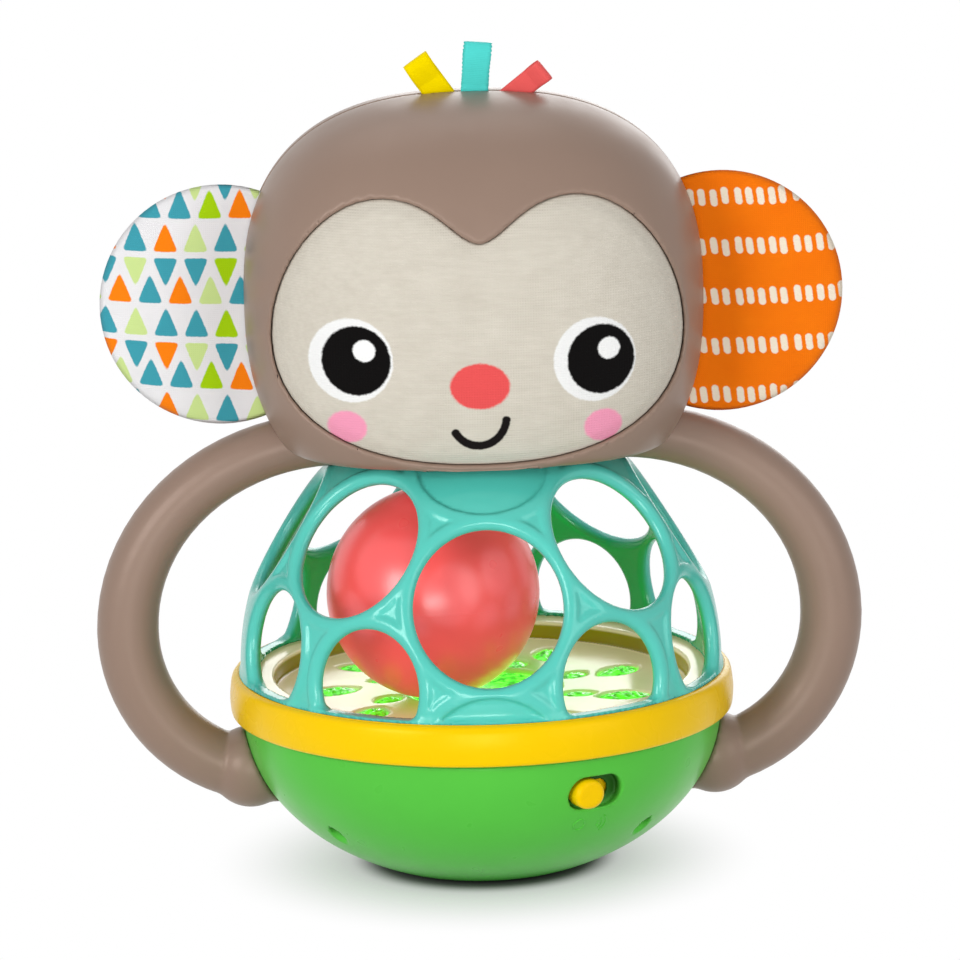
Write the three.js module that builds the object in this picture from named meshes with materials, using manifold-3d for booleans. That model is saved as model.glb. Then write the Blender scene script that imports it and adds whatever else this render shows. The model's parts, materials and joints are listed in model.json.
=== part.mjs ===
import * as THREE from 'three';
import { mergeVertices } from 'three/addons/utils/BufferGeometryUtils.js';
import Module from 'manifold-3d';

// A light-up infant rattle in the form of a monkey: a hollow head with a padded fabric face,
// fabric ears and ribbon tags, two handle arms, a lattice cage with a loose ball, and a bowl
// that holds the lights, the sounder and the cells.
// Millimetres. Up is +Z, the front faces -Y, and the origin is on the floor under the foot's centre.

const wasm = await Module();
wasm.setup();

// Fits and steps
const gap = 0.3;                    // between pieces that touch
const past = 1;                     // by which a cut runs past the face that it opens
const reach = 300;                  // larger than the toy, for blocks that trim it
const roundSteps = 28;              // sides of a large turned piece
const fitSteps = 18;                // sides of a round fit of middling size
const middleSteps = 12;             // sides of a boss or a tunnel
const smallSteps = 8;               // sides of a screw or a pin
const sides = [1, -1];              // right and left

// Bowl, half of an upright ellipsoid with a flat foot
const bowlRadius = 52;              // outside, at the rim
const bowlCurveHeight = 36.8;       // vertical half axis of the outside
const rimHeight = 34;
const bowlWall = 2.2;
const bowlFloor = 2.6;
const bowlSteps = 7;                // along the outside, from the foot to the rim
const bowlInnerSteps = 4;

// Screws
const bodyScrew = { head: 2.2, headHeight: 1.6, thread: 1.1, length: 13 };
const smallScrew = { head: 1.7, headHeight: 1.2, thread: 0.8, length: 9 };
const pilotDepth = 1;               // spare depth of a threaded hole past the screw's tip
const bossWall = 2;                 // round a threaded hole

// Bowl screws, driven up through tunnels into posts under the tray
const tunnelInset = 9;              // from the rim's outside to the circle of the tunnels
const tunnelAngles = [49, -49, 131, -131];
const tunnelSeat = 21;              // height of the step that the screw's head bears on
const tunnelSeatThickness = 2;
const tunnelWall = 1.35;
const tunnelCircle = bowlRadius - tunnelInset;
const tunnelRadius = bodyScrew.head + gap + tunnelWall;
const postRadius = bossWall + threadHole(bodyScrew);

// Slide switch
const switchAngle = 25.7;           // to the right of the front, degrees
const switchHeight = 26;
const switchTravel = 3.5;
const knobLength = 7.6;
const knobHeight = 6.2;
const knobProud = 1.4;              // past the outside of the bowl
const sliderThickness = 1.2;
const sliderOverlap = 3.2;          // past each end of the slot, behind the wall
const sliderLip = 0.6;              // above and below the slot, behind the wall
const sliderSetBack = 3.4;          // from the inside of the wall at the switch's height
const switchBody = { width: 10, depth: 5, height: 7.2 };

// Cells and their compartment
const cellCount = 3;
const cellRadius = 5.8;
const cellHeight = 5.4;
const cellRim = 1;                  // step round the smaller pole
const cellRimHeight = 0.5;
const compartmentWall = 2.4;
const compartmentRoof = 1.5;
const contactThickness = 0.45;
const doorThickness = 1.7;
const doorRecess = 0.3;             // above the foot
const doorLip = 1.2;                // past the compartment's mouth
const doorEarRadius = 3;
const doorHoleRoof = 1;             // left over the door's threaded hole
const doorEarOffset = 2;            // from the compartment's mouth to the door's screw
const cellCircle = (cellRadius + gap / 2) / Math.sin(Math.PI / cellCount);
const compartmentRadius = cellCircle + cellRadius + gap;

// Circuit board, lights and sounder
const boardSpare = 1.65;            // from the tunnels to the board's edge
const boardHeight = 20;
const boardThickness = 1.6;
const boardEarMargin = 1.5;         // each side of the switch body
const boardEarOverlap = 12;         // of the switch's ear with the round board
const boardPostInset = 5;
const boardPostAngles = [0, 110, -110];
const boardPostRadius = 2.8;
const lightCount = 3;
const lightCircle = 12;
const lightRadius = 2.5;
const lightHeight = 7;
const lightRim = 0.4;
const lightRimHeight = 1;
const lightSteps = 2;
const speakerRadius = 9;
const speakerRim = 2;               // height of the frame's edge
const speakerTaper = 1;             // from the frame to the magnet
const speakerDish = 0.8;            // hollow of the cone
const speakerHeight = 5;
const magnetRadius = 5.4;
const speakerSpacing = 1.6;         // from the compartment's wall to the sounder
const speakerSeat = 10.4;
const speakerCupWall = 1.5;
const soundHoleRadius = 1.1;
const soundHoleCircle = 4.6;
const soundHoleCount = 6;
const leadRadius = 0.6;
const leadSpread = 3;               // sideways run of a lead, each way
const leadStraight = 1.2;           // upright run at each end of a lead
const leadSteps = 8;
const leadSides = 6;
const boardRadius = tunnelCircle - tunnelRadius - boardSpare;
const boardPostCircle = boardRadius - boardPostInset;
const speakerReach = compartmentRadius + compartmentWall + speakerSpacing + speakerRadius;

// Collar ring
const collarOverhang = 3;           // past the bowl's rim
const collarLip = 0.7;              // above the tray's flange
const collarWall = 2.2;
const collarFlare = 1;              // drawn in at the bottom edge
const collarRounding = 1.5;
const collarSteps = 2;
const ledgeWidth = 4.8;
const ledgeThickness = 2;
const collarRadius = bowlRadius + collarOverhang;
const collarInner = collarRadius - collarWall;
const collarBottom = rimHeight + gap;

// Light tray and its lens
const trayRise = 8.5;               // of the flange's top above the bowl's rim
const trayDepth = 4;                // of the dish
const trayThickness = 1.8;
const trayFlangeWidth = 7.3;
const lensSpare = 0.6;              // from the posts to the lens
const lensThickness = 1.5;
const windowRadius = 17;
const leafCircle = 32.5;
const leafCount = 9;
const leafLength = 12;
const leafWidth = 6.5;
const leafTurn = 25;                // from the radius, degrees
const leafSteps = 2;
const trayFlangeTop = rimHeight + trayRise;
const trayFloorTop = trayFlangeTop - trayDepth;
const trayFlangeRadius = collarInner - gap;
const trayWallRadius = trayFlangeRadius - trayFlangeWidth;
const lensRadius = tunnelCircle - postRadius - lensSpare;
const collarTop = trayFlangeTop + collarLip;
const ledgeTop = trayFlangeTop - trayThickness - gap;

// Lattice cage, part of an upright ellipsoid
const latticeMargin = 0.4;          // from the collar's inside
const latticeCurveHeight = 56.7;
const latticeCentreRise = 1.5;      // of the ellipsoid's centre above the tray's flange
const latticeHeight = 48.6;         // from the ellipsoid's centre to the flat top
const latticeWall = 3.4;
const latticeFootWidth = 4;
const latticeFootThickness = 1.5;
const latticeFlangeBore = 16;
const latticeFlangeThickness = 2;
const latticeFlangeInset = 0.2;     // of the flange's edge under the cage's surface
const stakeRadius = 1.2;
const stakeCount = 6;
const stakeSides = 6;
// Finger openings of one front quarter: latitude, azimuth and angular radius, in degrees
const latticeHoles = [[24.5, 0, 17.3], [37.5, 43.8, 17.2], [5.3, 31, 13.5], [10, 65, 12], [34, 90, 15.5]];
const holeSteps = 10;
const latticeSteps = 24;
const latticeRadius = collarInner - latticeMargin;
const latticeCentre = trayFlangeTop + latticeCentreRise;
const latticeTop = latticeCentre + latticeHeight;

// Ball
const ballRadius = 23;
const ballWall = 1.6;
const ballPlace = [-10.4, -8];
const ballSteps = 5;
const ballInnerSteps = 3;

// Neck joint, clamped from inside the cage
const neckPlateThickness = 2;
const neckPlateRadius = 24;
const neckScrewCircle = 19.4;
const neckScrewAngles = [60, -60, 180];

// Head, a rounded form about a centre at its widest height, cut flat below
const headHalfWidth = 49.4;
const headDepth = 38;               // from the parting plane to the front or the back
const headCentreRise = 32.6;        // of the centre above the flat bottom
const headRise = 44.6;              // from the centre to the crown
const headFall = 48;                // from the centre to where the jaw's curve would close
const headWall = 2.2;
const crownPower = 2.55;
const jawPower = 2.5;
const edgePower = 2.6;
const facePower = 2.2;
const headSteps = 24;
const headScrewAcross = 27;
const headScrewRises = [24.5, -17.5];
const headScrewSeat = 12;           // from the parting plane to the step under the screw's head
const headBottom = latticeTop + gap;
const headFloorTop = headBottom + headWall;
const headCentre = headBottom + headCentreRise;
const headScrewPlaces = headScrewRises.flatMap((rise) =>
  sides.map((side) => [side * headScrewAcross, headCentre + rise]));

// Face pocket, heart shaped, with heights from the head's centre, and what lies in it
const faceNotchRise = 16.8;
const faceLobe = [20, 26.1];
const faceSide = [43.9, -4.5];
const faceMargin = 1.3;             // from the head's flat bottom
// Lengths of the handles that bend the heart's curves
const heartHandles = {
  notch: 5, notchLift: 0.5, lobeIn: 11, lobeOut: 13, sideUp: 15, sideDown: 17, chin: 28,
};
const heartSteps = 5;
const pocketDepth = 4.8;
const pocketWall = 2;
const padRecess = 0.6;
const padThickness = 2.4;
const backingThickness = 1.2;
const backingPegRadius = 1.6;
const backingPegLength = 14;        // measured from the front of the head
const backingPegAcross = 15;
const backingPegDrop = 3.5;
const backingPegPlaces = sides.map((side) => [side * backingPegAcross, headCentre - backingPegDrop]);

// Ears
const earRadius = 25.5;
const earOffset = 4.9;              // of the ear's centre from the head's side
const earDrop = 0.8;                // below the head's centre
const earThickness = 6.4;
const earRootThickness = 1.2;
const earRootRun = 12;              // over which the pad fills out
const earFillPower = 0.6;
const earTabReach = 9;              // inside the head
const earTabHeight = 30;
const earTabThickness = 2;
const earTabProud = 0.5;            // past the head's side
const earRootGap = 1.2;             // from the head's side to the root of the pad, which swings there
const earSides = 28;
const earRings = 10;
const earPlace = [headHalfWidth + earOffset, headCentre - earDrop];

// Ribbon tags: place of the loop's root along the crown, lean to the right in degrees, length and width
const ribbons = {
  yellow: { place: -8.3, lean: -35, length: 5.8, width: 5.8 },
  teal: { place: 1.2, lean: 5, length: 9.4, width: 5.8 },
  coral: { place: 13.3, lean: 52, length: 3.7, width: 4.9 },
};
const ribbonThickness = 0.6;
const ribbonRoot = 1.3;             // both layers at the root
const ribbonBelly = 2.4;            // across the loop
const ribbonSewn = 1;               // height over which the two layers are sewn together
const ribbonSwell = 0.42;           // share of the length at which the loop swells
const ribbonTabDepth = 5;
const ribbonRootGap = 0.6;          // from the crown to the root of the loop, which swings there
const ribbonSteps = 4;

// Arms, two quarter ellipses that meet at the widest place
const armRadius = 6.7;
const armBore = 4.9;
const armReach = 76.6;
const armWaistRise = 19.2;           // above the bowl's rim
const shoulderAcross = 33;
const shoulderRise = 2.6;           // above the head's bottom
const handRadius = 8.5;
const handDrop = 12.4;              // below the bowl's rim
const handProud = 3.84;             // of the hand's centre from the bowl's surface
const handStub = 12;                // run of the hand towards the bowl
const handSides = 14;
const handRings = 10;
const wristDip = 0.8;               // below the hand's centre
const wristSink = 4.8;              // from the hand's centre towards the bowl
const armSteps = 12;
const armSides = 10;
const boreShare = 0.8;              // of the arm's run, from the shoulder
const shoulderPast = 1.5;           // shoulder collar past the arm's surface
const shoulderWidth = 2;
const handScrewInset = 2;           // from the bowl's inside to under the screw's head
const keepOutSteps = 10;
const armWaist = rimHeight + armWaistRise;
const shoulder = [shoulderAcross, headBottom + shoulderRise];
const handHeight = rimHeight - handDrop;
const handAcross = ellipseRadius(bowlRadius, bowlCurveHeight, handDrop) + handProud;
const wrist = [handAcross - wristSink, handHeight - wristDip];

// Finishes
const finishes = {
  green: [0x5cc24a, 0.35], yellow: [0xffcf0f, 0.35], teal: [0x56cdbd, 0.4], coral: [0xe94d4d, 0.2],
  brown: [0x967f71, 0.4], cream: [0xebe4cd, 0.35], lens: [0x59c531, 0.2], white: [0xf4f2ec, 0.5],
  faceCloth: [0xddd7c7, 0.9], earWhite: [0xf2f1ec, 0.9], earOrange: [0xfa8e19, 0.9],
  ribbonYellow: [0xeed302, 0.6], ribbonTeal: [0x5dd3ce, 0.5], ribbonCoral: [0xe65f5d, 0.6],
  steel: [0xb8babd, 0.35, 1], board: [0x1f6b3a, 0.6], black: [0x1d1d1f, 0.5], copper: [0xc9a24a, 0.4, 1],
  light: [0xf3f6ff, 0.15], leadRed: [0xb5322d, 0.6],
};

const toy = new THREE.Group();
const up = new THREE.Vector3(0, 0, 1);
const down = new THREE.Vector3(0, 0, -1);

// Joins and cuts

function solid(geometry) {
  const bare = geometry.clone();
  bare.deleteAttribute('normal');
  bare.deleteAttribute('uv');
  const merged = mergeVertices(bare, 1e-4);
  const points = merged.attributes.position.array;
  const index = merged.index.array;
  const triangles = [];
  for (let i = 0; i < index.length; i += 3) {
    const [a, b, c] = [index[i], index[i + 1], index[i + 2]];
    if (a !== b && b !== c && c !== a) triangles.push(a, b, c);
  }
  const faces = volumeOf(points, triangles) < 0 ? triangles.reverse() : triangles;
  const mesh = new wasm.Mesh({
    numProp: 3, vertProperties: new Float32Array(points), triVerts: new Uint32Array(faces),
  });
  return new wasm.Manifold(mesh);
}

function volumeOf(points, triangles) {
  const corner = (i) => new THREE.Vector3().fromArray(points, 3 * triangles[i]);
  let sum = 0;
  for (let i = 0; i < triangles.length; i += 3) {
    sum += corner(i).dot(corner(i + 1).cross(corner(i + 2)));
  }
  return sum;
}

function join(...solids) {
  return solids.reduce((whole, piece) => whole.add(piece));
}

function cut(whole, ...tools) {
  return tools.reduce((rest, tool) => rest.subtract(tool), whole);
}

function addPart(name, finish, shape) {
  const { vertProperties, triVerts, numProp } = shape.getMesh();
  const points = new Float32Array(triVerts.length * 3);
  triVerts.forEach((vertex, i) => {
    for (let axis = 0; axis < 3; axis++) points[3 * i + axis] = vertProperties[numProp * vertex + axis];
  });
  const geometry = new THREE.BufferGeometry();
  geometry.setAttribute('position', new THREE.BufferAttribute(points, 3));
  geometry.computeVertexNormals();
  const [color, roughness, metalness = 0] = finishes[finish];
  const mesh = new THREE.Mesh(geometry, new THREE.MeshStandardMaterial({ color, roughness, metalness }));
  mesh.name = name;
  toy.add(mesh);
}

// Basic shapes

function radians(degrees) {
  return degrees * Math.PI / 180;
}

function ellipseRadius(across, upright, rise) {
  return across * Math.sqrt(Math.max(0, 1 - (rise / upright) ** 2));
}

// A point at a radius and an azimuth from the front, positive to the right
function polar(radius, degrees) {
  return [radius * Math.sin(radians(degrees)), -radius * Math.cos(radians(degrees))];
}

function turned(profile, steps = roundSteps) {
  const points = profile.map(([radius, height]) => new THREE.Vector2(radius, height));
  return new THREE.LatheGeometry(points, steps).rotateX(Math.PI / 2);
}

function block(low, high) {
  const size = high.map((value, axis) => value - low[axis]);
  const middle = high.map((value, axis) => (value + low[axis]) / 2);
  return solid(new THREE.BoxGeometry(...size).translate(...middle));
}

function above(height) {
  return block([-reach, -reach, height], [reach, reach, reach]);
}

function upright(place, low, high, radius, steps = smallSteps) {
  const rod = new THREE.CylinderGeometry(radius, radius, high - low, steps).rotateX(Math.PI / 2);
  return solid(rod.translate(place[0], place[1], (low + high) / 2));
}

function frontToBack(place, front, back, radius, steps = smallSteps) {
  const rod = new THREE.CylinderGeometry(radius, radius, back - front, steps);
  return solid(rod.translate(place[0], (front + back) / 2, place[1]));
}

// A flat outline in X and Z, thickened from one depth to another
function slabAlongY(shape, front, back, curveSteps) {
  const slab = new THREE.ExtrudeGeometry(shape, {
    depth: back - front, bevelEnabled: false, curveSegments: curveSteps,
  });
  return solid(slab.rotateX(Math.PI / 2).translate(0, back, 0));
}

function ringOutline(radius, sides) {
  const points = [];
  for (let i = 0; i < sides; i++) {
    const angle = 2 * Math.PI * i / sides;
    points.push(new THREE.Vector2(radius * Math.cos(angle), radius * Math.sin(angle)));
  }
  return new THREE.Shape(points);
}

function tube(path, radius, steps, sides) {
  return solid(new THREE.ExtrudeGeometry(ringOutline(radius, sides), { extrudePath: path, steps }));
}

function capsuleOutline(length, height) {
  const round = height / 2;
  const straight = length / 2 - round;
  const shape = new THREE.Shape();
  shape.absarc(straight, 0, round, -Math.PI / 2, Math.PI / 2);
  shape.absarc(-straight, 0, round, Math.PI / 2, 3 * Math.PI / 2);
  return shape;
}

// A pan-head screw whose head bears at a point and whose thread runs along a direction
function screwSolid(kind, seat, direction) {
  const profile = [
    [0, -kind.headHeight], [kind.head, -kind.headHeight], [kind.head, 0], [kind.thread, 0],
    [kind.thread, kind.length - kind.thread], [0, kind.length],
  ];
  const turn = new THREE.Quaternion().setFromUnitVectors(up, direction);
  return solid(turned(profile, smallSteps).applyQuaternion(turn).translate(...seat));
}

function threadHole(kind) {
  return kind.thread + gap;
}

// Bowl and base

function bowlInnerHeight(radius) {
  return rimHeight - ellipseRadius(bowlCurveHeight - bowlWall, bowlRadius - bowlWall, radius);
}

function bowlCurve(across, upright, lowest, steps) {
  const start = Math.acos((rimHeight - lowest) / upright);
  const points = [];
  for (let i = 0; i <= steps; i++) {
    const angle = start + (Math.PI / 2 - start) * i / steps;
    points.push([across * Math.sin(angle), rimHeight - upright * Math.cos(angle)]);
  }
  return points;
}

function bowlOutside() {
  return solid(turned([[0, 0], ...bowlCurve(bowlRadius, bowlCurveHeight, 0, bowlSteps), [0, rimHeight]]));
}

function bowlShell() {
  const outside = bowlCurve(bowlRadius, bowlCurveHeight, 0, bowlSteps);
  const inside = bowlCurve(bowlRadius - bowlWall, bowlCurveHeight - bowlWall, bowlFloor, bowlInnerSteps);
  return solid(turned([[0, 0], ...outside, ...inside.reverse(), [0, bowlFloor]]));
}

const contactLow = doorRecess + doorThickness + gap;
const cellLow = contactLow + contactThickness + gap;
const contactHigh = cellLow + cellHeight + gap;
const roofLow = contactHigh + contactThickness + gap;
const roofHigh = roofLow + compartmentRoof;
const doorEar = [0, -(compartmentRadius + doorEarOffset)];

function doorOutline(clearance) {
  const low = doorRecess;
  const high = doorRecess + doorThickness;
  const edge = compartmentRadius + doorLip + clearance;
  return [
    upright([0, 0], low - clearance * 2, high + clearance, edge, roundSteps),
    upright(doorEar, low - clearance * 2, high + clearance, doorEarRadius + clearance, middleSteps),
  ];
}

// Solid blocks that stand on the inside of the bowl
function bowlInnerBlocks() {
  const blocks = [upright([0, 0], 0, roofHigh, compartmentRadius + compartmentWall, roundSteps)];
  blocks.push(upright(doorEar, 0, roofHigh, bossWall + threadHole(smallScrew), middleSteps));
  blocks.push(upright([0, speakerReach], 0, speakerSeat + speakerHeight / 2,
    speakerRadius + gap + speakerCupWall, fitSteps));
  for (const angle of tunnelAngles) {
    const top = tunnelSeat + tunnelSeatThickness;
    blocks.push(upright(polar(tunnelCircle, angle), 0, top, tunnelRadius, middleSteps));
  }
  for (const angle of boardPostAngles) {
    blocks.push(upright(polar(boardPostCircle, angle), 0, boardHeight - gap, boardPostRadius));
  }
  return blocks;
}

function bowlCuts() {
  const cuts = [...doorOutline(gap), upright([0, 0], -past, roofLow, compartmentRadius, roundSteps)];
  const doorHoleTop = doorRecess + doorThickness + smallScrew.length;
  cuts.push(upright(doorEar, 0, Math.min(doorHoleTop, roofHigh - doorHoleRoof), threadHole(smallScrew)));
  const speaker = [0, speakerReach];
  cuts.push(upright(speaker, speakerSeat, reach, speakerRadius + gap, fitSteps));
  const cupBore = speakerRadius - speakerCupWall;
  cuts.push(upright(speaker, bowlInnerHeight(speakerReach + cupBore), reach, cupBore, middleSteps));
  for (let i = 0; i < soundHoleCount; i++) {
    const [x, y] = polar(soundHoleCircle, 360 * i / soundHoleCount);
    cuts.push(upright([x, speakerReach + y], -past, speakerSeat, soundHoleRadius));
  }
  for (const angle of tunnelAngles) {
    const place = polar(tunnelCircle, angle);
    cuts.push(upright(place, -past, tunnelSeat, bodyScrew.head + gap, middleSteps));
    cuts.push(upright(place, -past, reach, threadHole(bodyScrew)));
  }
  for (const angle of boardPostAngles) {
    const low = boardHeight + boardThickness - smallScrew.length;
    cuts.push(upright(polar(boardPostCircle, angle), low, reach, threadHole(smallScrew)));
  }
  return cuts;
}

// The battery lead's hole through the compartment's roof
const batteryLeadPlace = [0, cellCircle];

function makeBowl() {
  const blocks = join(...bowlInnerBlocks()).intersect(bowlOutside());
  const whole = cut(join(bowlShell(), blocks), ...bowlCuts(), switchSlot());
  const handHoles = sides.map(handScrewHole);
  const leadHole = upright(batteryLeadPlace, roofLow - past, roofHigh + past, leadRadius + gap);
  addPart('bowl', 'green', cut(whole, ...handHoles, leadHole));
}

function makeBatteryDoor() {
  const door = join(...doorOutline(0));
  const hole = upright(doorEar, -past, reach, threadHole(smallScrew));
  const sink = upright(doorEar, -past, doorRecess + doorThickness / 2, smallScrew.head + gap);
  addPart('battery_door', 'green', cut(door, hole, sink));
  const seat = doorRecess + doorThickness / 2 - gap;
  const length = roofHigh - doorHoleRoof - pilotDepth - seat;
  const shortScrew = { ...smallScrew, headHeight: seat - doorRecess, length };
  addPart('battery_door_screw', 'steel', screwSolid(shortScrew, [...doorEar, seat], up));
}

function makeCells() {
  const pole = cellRadius - cellRim;
  const profile = [
    [0, 0], [pole, 0], [pole, cellRimHeight], [cellRadius, cellRimHeight], [cellRadius, cellHeight],
    [0, cellHeight],
  ];
  for (let i = 0; i < cellCount; i++) {
    const [x, y] = polar(cellCircle, 360 * i / cellCount);
    addPart(`cell_${i + 1}`, 'steel', solid(turned(profile, middleSteps).translate(x, y, cellLow)));
  }
  for (const [name, low] of [['upper', contactHigh], ['lower', contactLow]]) {
    const plate = upright([0, 0], low, low + contactThickness, compartmentRadius - gap, fitSteps);
    addPart(`contact_plate_${name}`, 'copper', plate);
  }
}

function inSwitchFrame(shape) {
  return solid(shape.rotateZ(radians(switchAngle)));
}

// Depths along the switch's own axis, measured forward from the centre
const switchDrop = rimHeight - switchHeight;
const switchWallOut = ellipseRadius(bowlRadius, bowlCurveHeight, switchDrop);
const switchWallIn = ellipseRadius(bowlRadius - bowlWall, bowlCurveHeight - bowlWall, switchDrop);
const sliderFront = switchWallIn - sliderSetBack;
const slotLength = knobLength + switchTravel + 2 * gap;
const slotHeight = knobHeight + 2 * gap;
const slotEnds = [switchWallOut + tunnelInset, sliderFront - sliderThickness];

function switchPrism(outline, front, back, shift) {
  const prism = new THREE.ExtrudeGeometry(outline, {
    depth: front - back, bevelEnabled: false, curveSegments: smallSteps - 2,
  });
  return prism.rotateX(Math.PI / 2).translate(shift, -back, switchHeight);
}

function switchSlot() {
  return inSwitchFrame(switchPrism(capsuleOutline(slotLength, slotHeight), ...slotEnds, 0));
}

function makeSwitch() {
  const rest = -switchTravel / 2;
  const sliderLength = slotLength + 2 * sliderOverlap;
  const plateShape = capsuleOutline(sliderLength, slotHeight + 2 * sliderLip);
  const sliderBack = sliderFront - sliderThickness;
  const knob = inSwitchFrame(
    switchPrism(capsuleOutline(knobLength, knobHeight), switchWallOut + knobProud, sliderBack, rest));
  const slider = inSwitchFrame(switchPrism(plateShape, sliderFront, sliderBack, rest));
  addPart('switch_knob', 'yellow', join(knob, slider));
  const { width, depth, height } = switchBody;
  const low = boardHeight + boardThickness + gap;
  const body = new THREE.BoxGeometry(width, depth, height);
  body.translate(0, -(sliderBack - gap - depth / 2), low + height / 2);
  addPart('switch_body', 'black', inSwitchFrame(body));
}

function makeBoard() {
  const low = boardHeight;
  const high = boardHeight + boardThickness;
  const disc = upright([0, 0], low, high, boardRadius, roundSteps);
  const earLength = switchBody.depth + boardEarOverlap;
  const ear = new THREE.BoxGeometry(switchBody.width + 2 * boardEarMargin, earLength, boardThickness);
  const earFront = sliderFront - sliderThickness - gap;
  ear.translate(0, earLength / 2 - earFront, (low + high) / 2);
  const holes = boardPostAngles.map((angle) =>
    upright(polar(boardPostCircle, angle), low - past, high + past, threadHole(smallScrew)));
  addPart('circuit_board', 'board', cut(join(disc, inSwitchFrame(ear)), ...holes));
  boardPostAngles.forEach((angle, i) => {
    const seat = [...polar(boardPostCircle, angle), high + gap];
    addPart(`board_screw_${i + 1}`, 'steel', screwSolid(smallScrew, seat, down));
  });
}

function makeLights() {
  const rim = lightRadius + lightRim;
  const profile = [[0, 0], [rim, 0], [rim, lightRimHeight], [lightRadius, lightRimHeight]];
  for (let step = 0; step <= lightSteps; step++) {
    const angle = Math.PI / 2 * step / lightSteps;
    profile.push([lightRadius * Math.cos(angle), lightHeight - lightRadius + lightRadius * Math.sin(angle)]);
  }
  const low = boardHeight + boardThickness + gap;
  for (let i = 0; i < lightCount; i++) {
    const [x, y] = polar(lightCircle, 360 * i / lightCount);
    addPart(`led_${i + 1}`, 'light', solid(turned(profile, smallSteps).translate(x, y, low)));
  }
}

function makeSpeaker() {
  const profile = [
    [0, speakerDish], [magnetRadius, 0], [speakerRadius, 0], [speakerRadius, speakerRim],
    [magnetRadius, speakerRim + speakerTaper], [magnetRadius, speakerHeight], [0, speakerHeight],
  ];
  addPart('speaker', 'black', solid(turned(profile, fitSteps).translate(0, speakerReach, speakerSeat + gap)));
}

// A lead that leaves its start and reaches its end upright
function leadAlong(start, end) {
  const path = new THREE.CatmullRomCurve3([
    new THREE.Vector3(...start), new THREE.Vector3(start[0], start[1], start[2] + leadStraight),
    new THREE.Vector3(end[0], end[1], end[2] - leadStraight), new THREE.Vector3(...end),
  ]);
  return tube(path, leadRadius, leadSteps, leadSides);
}

function makeLeads() {
  const underBoard = boardHeight - gap;
  const [x, y] = batteryLeadPlace;
  const contactTop = contactHigh + contactThickness + gap;
  const batteryEnd = [x + leadSpread, y - leadSpread, underBoard];
  addPart('battery_lead', 'leadRed', leadAlong([x, y, contactTop], batteryEnd));
  const speakerTop = speakerSeat + speakerHeight + 2 * gap;
  const speakerEnd = [leadSpread, speakerReach - leadSpread, underBoard];
  addPart('speaker_lead', 'leadRed', leadAlong([0, speakerReach, speakerTop], speakerEnd));
}

// Collar, tray and lens

function makeCollar() {
  const rimInside = bowlRadius - bowlWall;
  const rimTop = collarBottom + collarWall;
  const ledgeInside = collarInner - ledgeWidth;
  const ledgeLow = ledgeTop - ledgeThickness;
  const crown = [];
  for (let step = 0; step <= collarSteps; step++) {
    const angle = Math.PI / 2 * step / collarSteps;
    crown.push([
      collarRadius - collarRounding + collarRounding * Math.cos(angle),
      collarTop - collarRounding + collarRounding * Math.sin(angle),
    ]);
  }
  const profile = [
    [rimInside, collarBottom], [collarRadius - collarFlare, collarBottom],
    [collarRadius, collarBottom + collarRounding], ...crown, [collarInner, collarTop - gap],
    [collarInner, ledgeTop], [ledgeInside, ledgeTop], [ledgeInside, ledgeLow], [collarInner, ledgeLow],
    [collarInner, rimTop], [rimInside, rimTop], [rimInside, collarBottom],
  ];
  addPart('collar_ring', 'yellow', solid(turned(profile)));
}

function leafOutline(clearance) {
  const half = leafLength / 2 + clearance;
  const side = leafWidth + 2 * clearance;
  const shape = new THREE.Shape();
  shape.moveTo(-half, 0);
  shape.quadraticCurveTo(0, side, half, 0);
  shape.quadraticCurveTo(0, -side, -half, 0);
  return shape;
}

// Leaf windows in a ring, each turned a little from the radius
function leaves(clearance, low, high) {
  return Array.from({ length: leafCount }, (unused, i) => {
    const angle = 360 * (i + 0.5) / leafCount;
    const [x, y] = polar(leafCircle, angle);
    const slab = new THREE.ExtrudeGeometry(leafOutline(clearance), {
      depth: high - low, bevelEnabled: false, curveSegments: leafSteps,
    });
    slab.rotateZ(radians(angle + leafTurn));
    return solid(slab.translate(x, y, low));
  });
}

function stakes(clearance, low, high) {
  const circle = latticeRadius - latticeFootWidth / 2;
  return Array.from({ length: stakeCount }, (unused, i) =>
    upright(polar(circle, 360 * (i + 0.5) / stakeCount), low, high, stakeRadius + clearance, stakeSides));
}

function makeTray() {
  const outerWall = trayWallRadius + trayThickness;
  const profile = [
    [0, trayFloorTop - trayThickness], [outerWall, trayFloorTop - trayThickness],
    [outerWall, trayFlangeTop - trayThickness], [trayFlangeRadius, trayFlangeTop - trayThickness],
    [trayFlangeRadius, trayFlangeTop], [trayWallRadius, trayFlangeTop], [trayWallRadius, trayFloorTop],
    [0, trayFloorTop],
  ];
  const postLow = tunnelSeat + tunnelSeatThickness + gap;
  const posts = tunnelAngles.map((angle) =>
    upright(polar(tunnelCircle, angle), postLow, trayFloorTop - trayThickness / 2, postRadius, middleSteps));
  const window = upright([0, 0], trayFloorTop - 2 * trayThickness, reach, windowRadius + gap, roundSteps);
  const holeTop = Math.min(trayFloorTop - trayThickness, tunnelSeat + bodyScrew.length + pilotDepth);
  const holes = tunnelAngles.map((angle) =>
    upright(polar(tunnelCircle, angle), postLow - past, holeTop, threadHole(bodyScrew)));
  const leafHoles = leaves(gap, trayFloorTop - 2 * trayThickness, reach);
  const stakeHoles = stakes(gap, trayFlangeTop - 2 * trayThickness, trayFlangeTop + past);
  const tray = join(solid(turned(profile)), ...posts);
  addPart('light_tray', 'cream', cut(tray, window, ...leafHoles, ...stakeHoles, ...holes));
  tunnelAngles.forEach((angle, i) => {
    const seat = [...polar(tunnelCircle, angle), tunnelSeat - gap];
    addPart(`bowl_screw_${i + 1}`, 'steel', screwSolid(bodyScrew, seat, up));
  });
}

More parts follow.
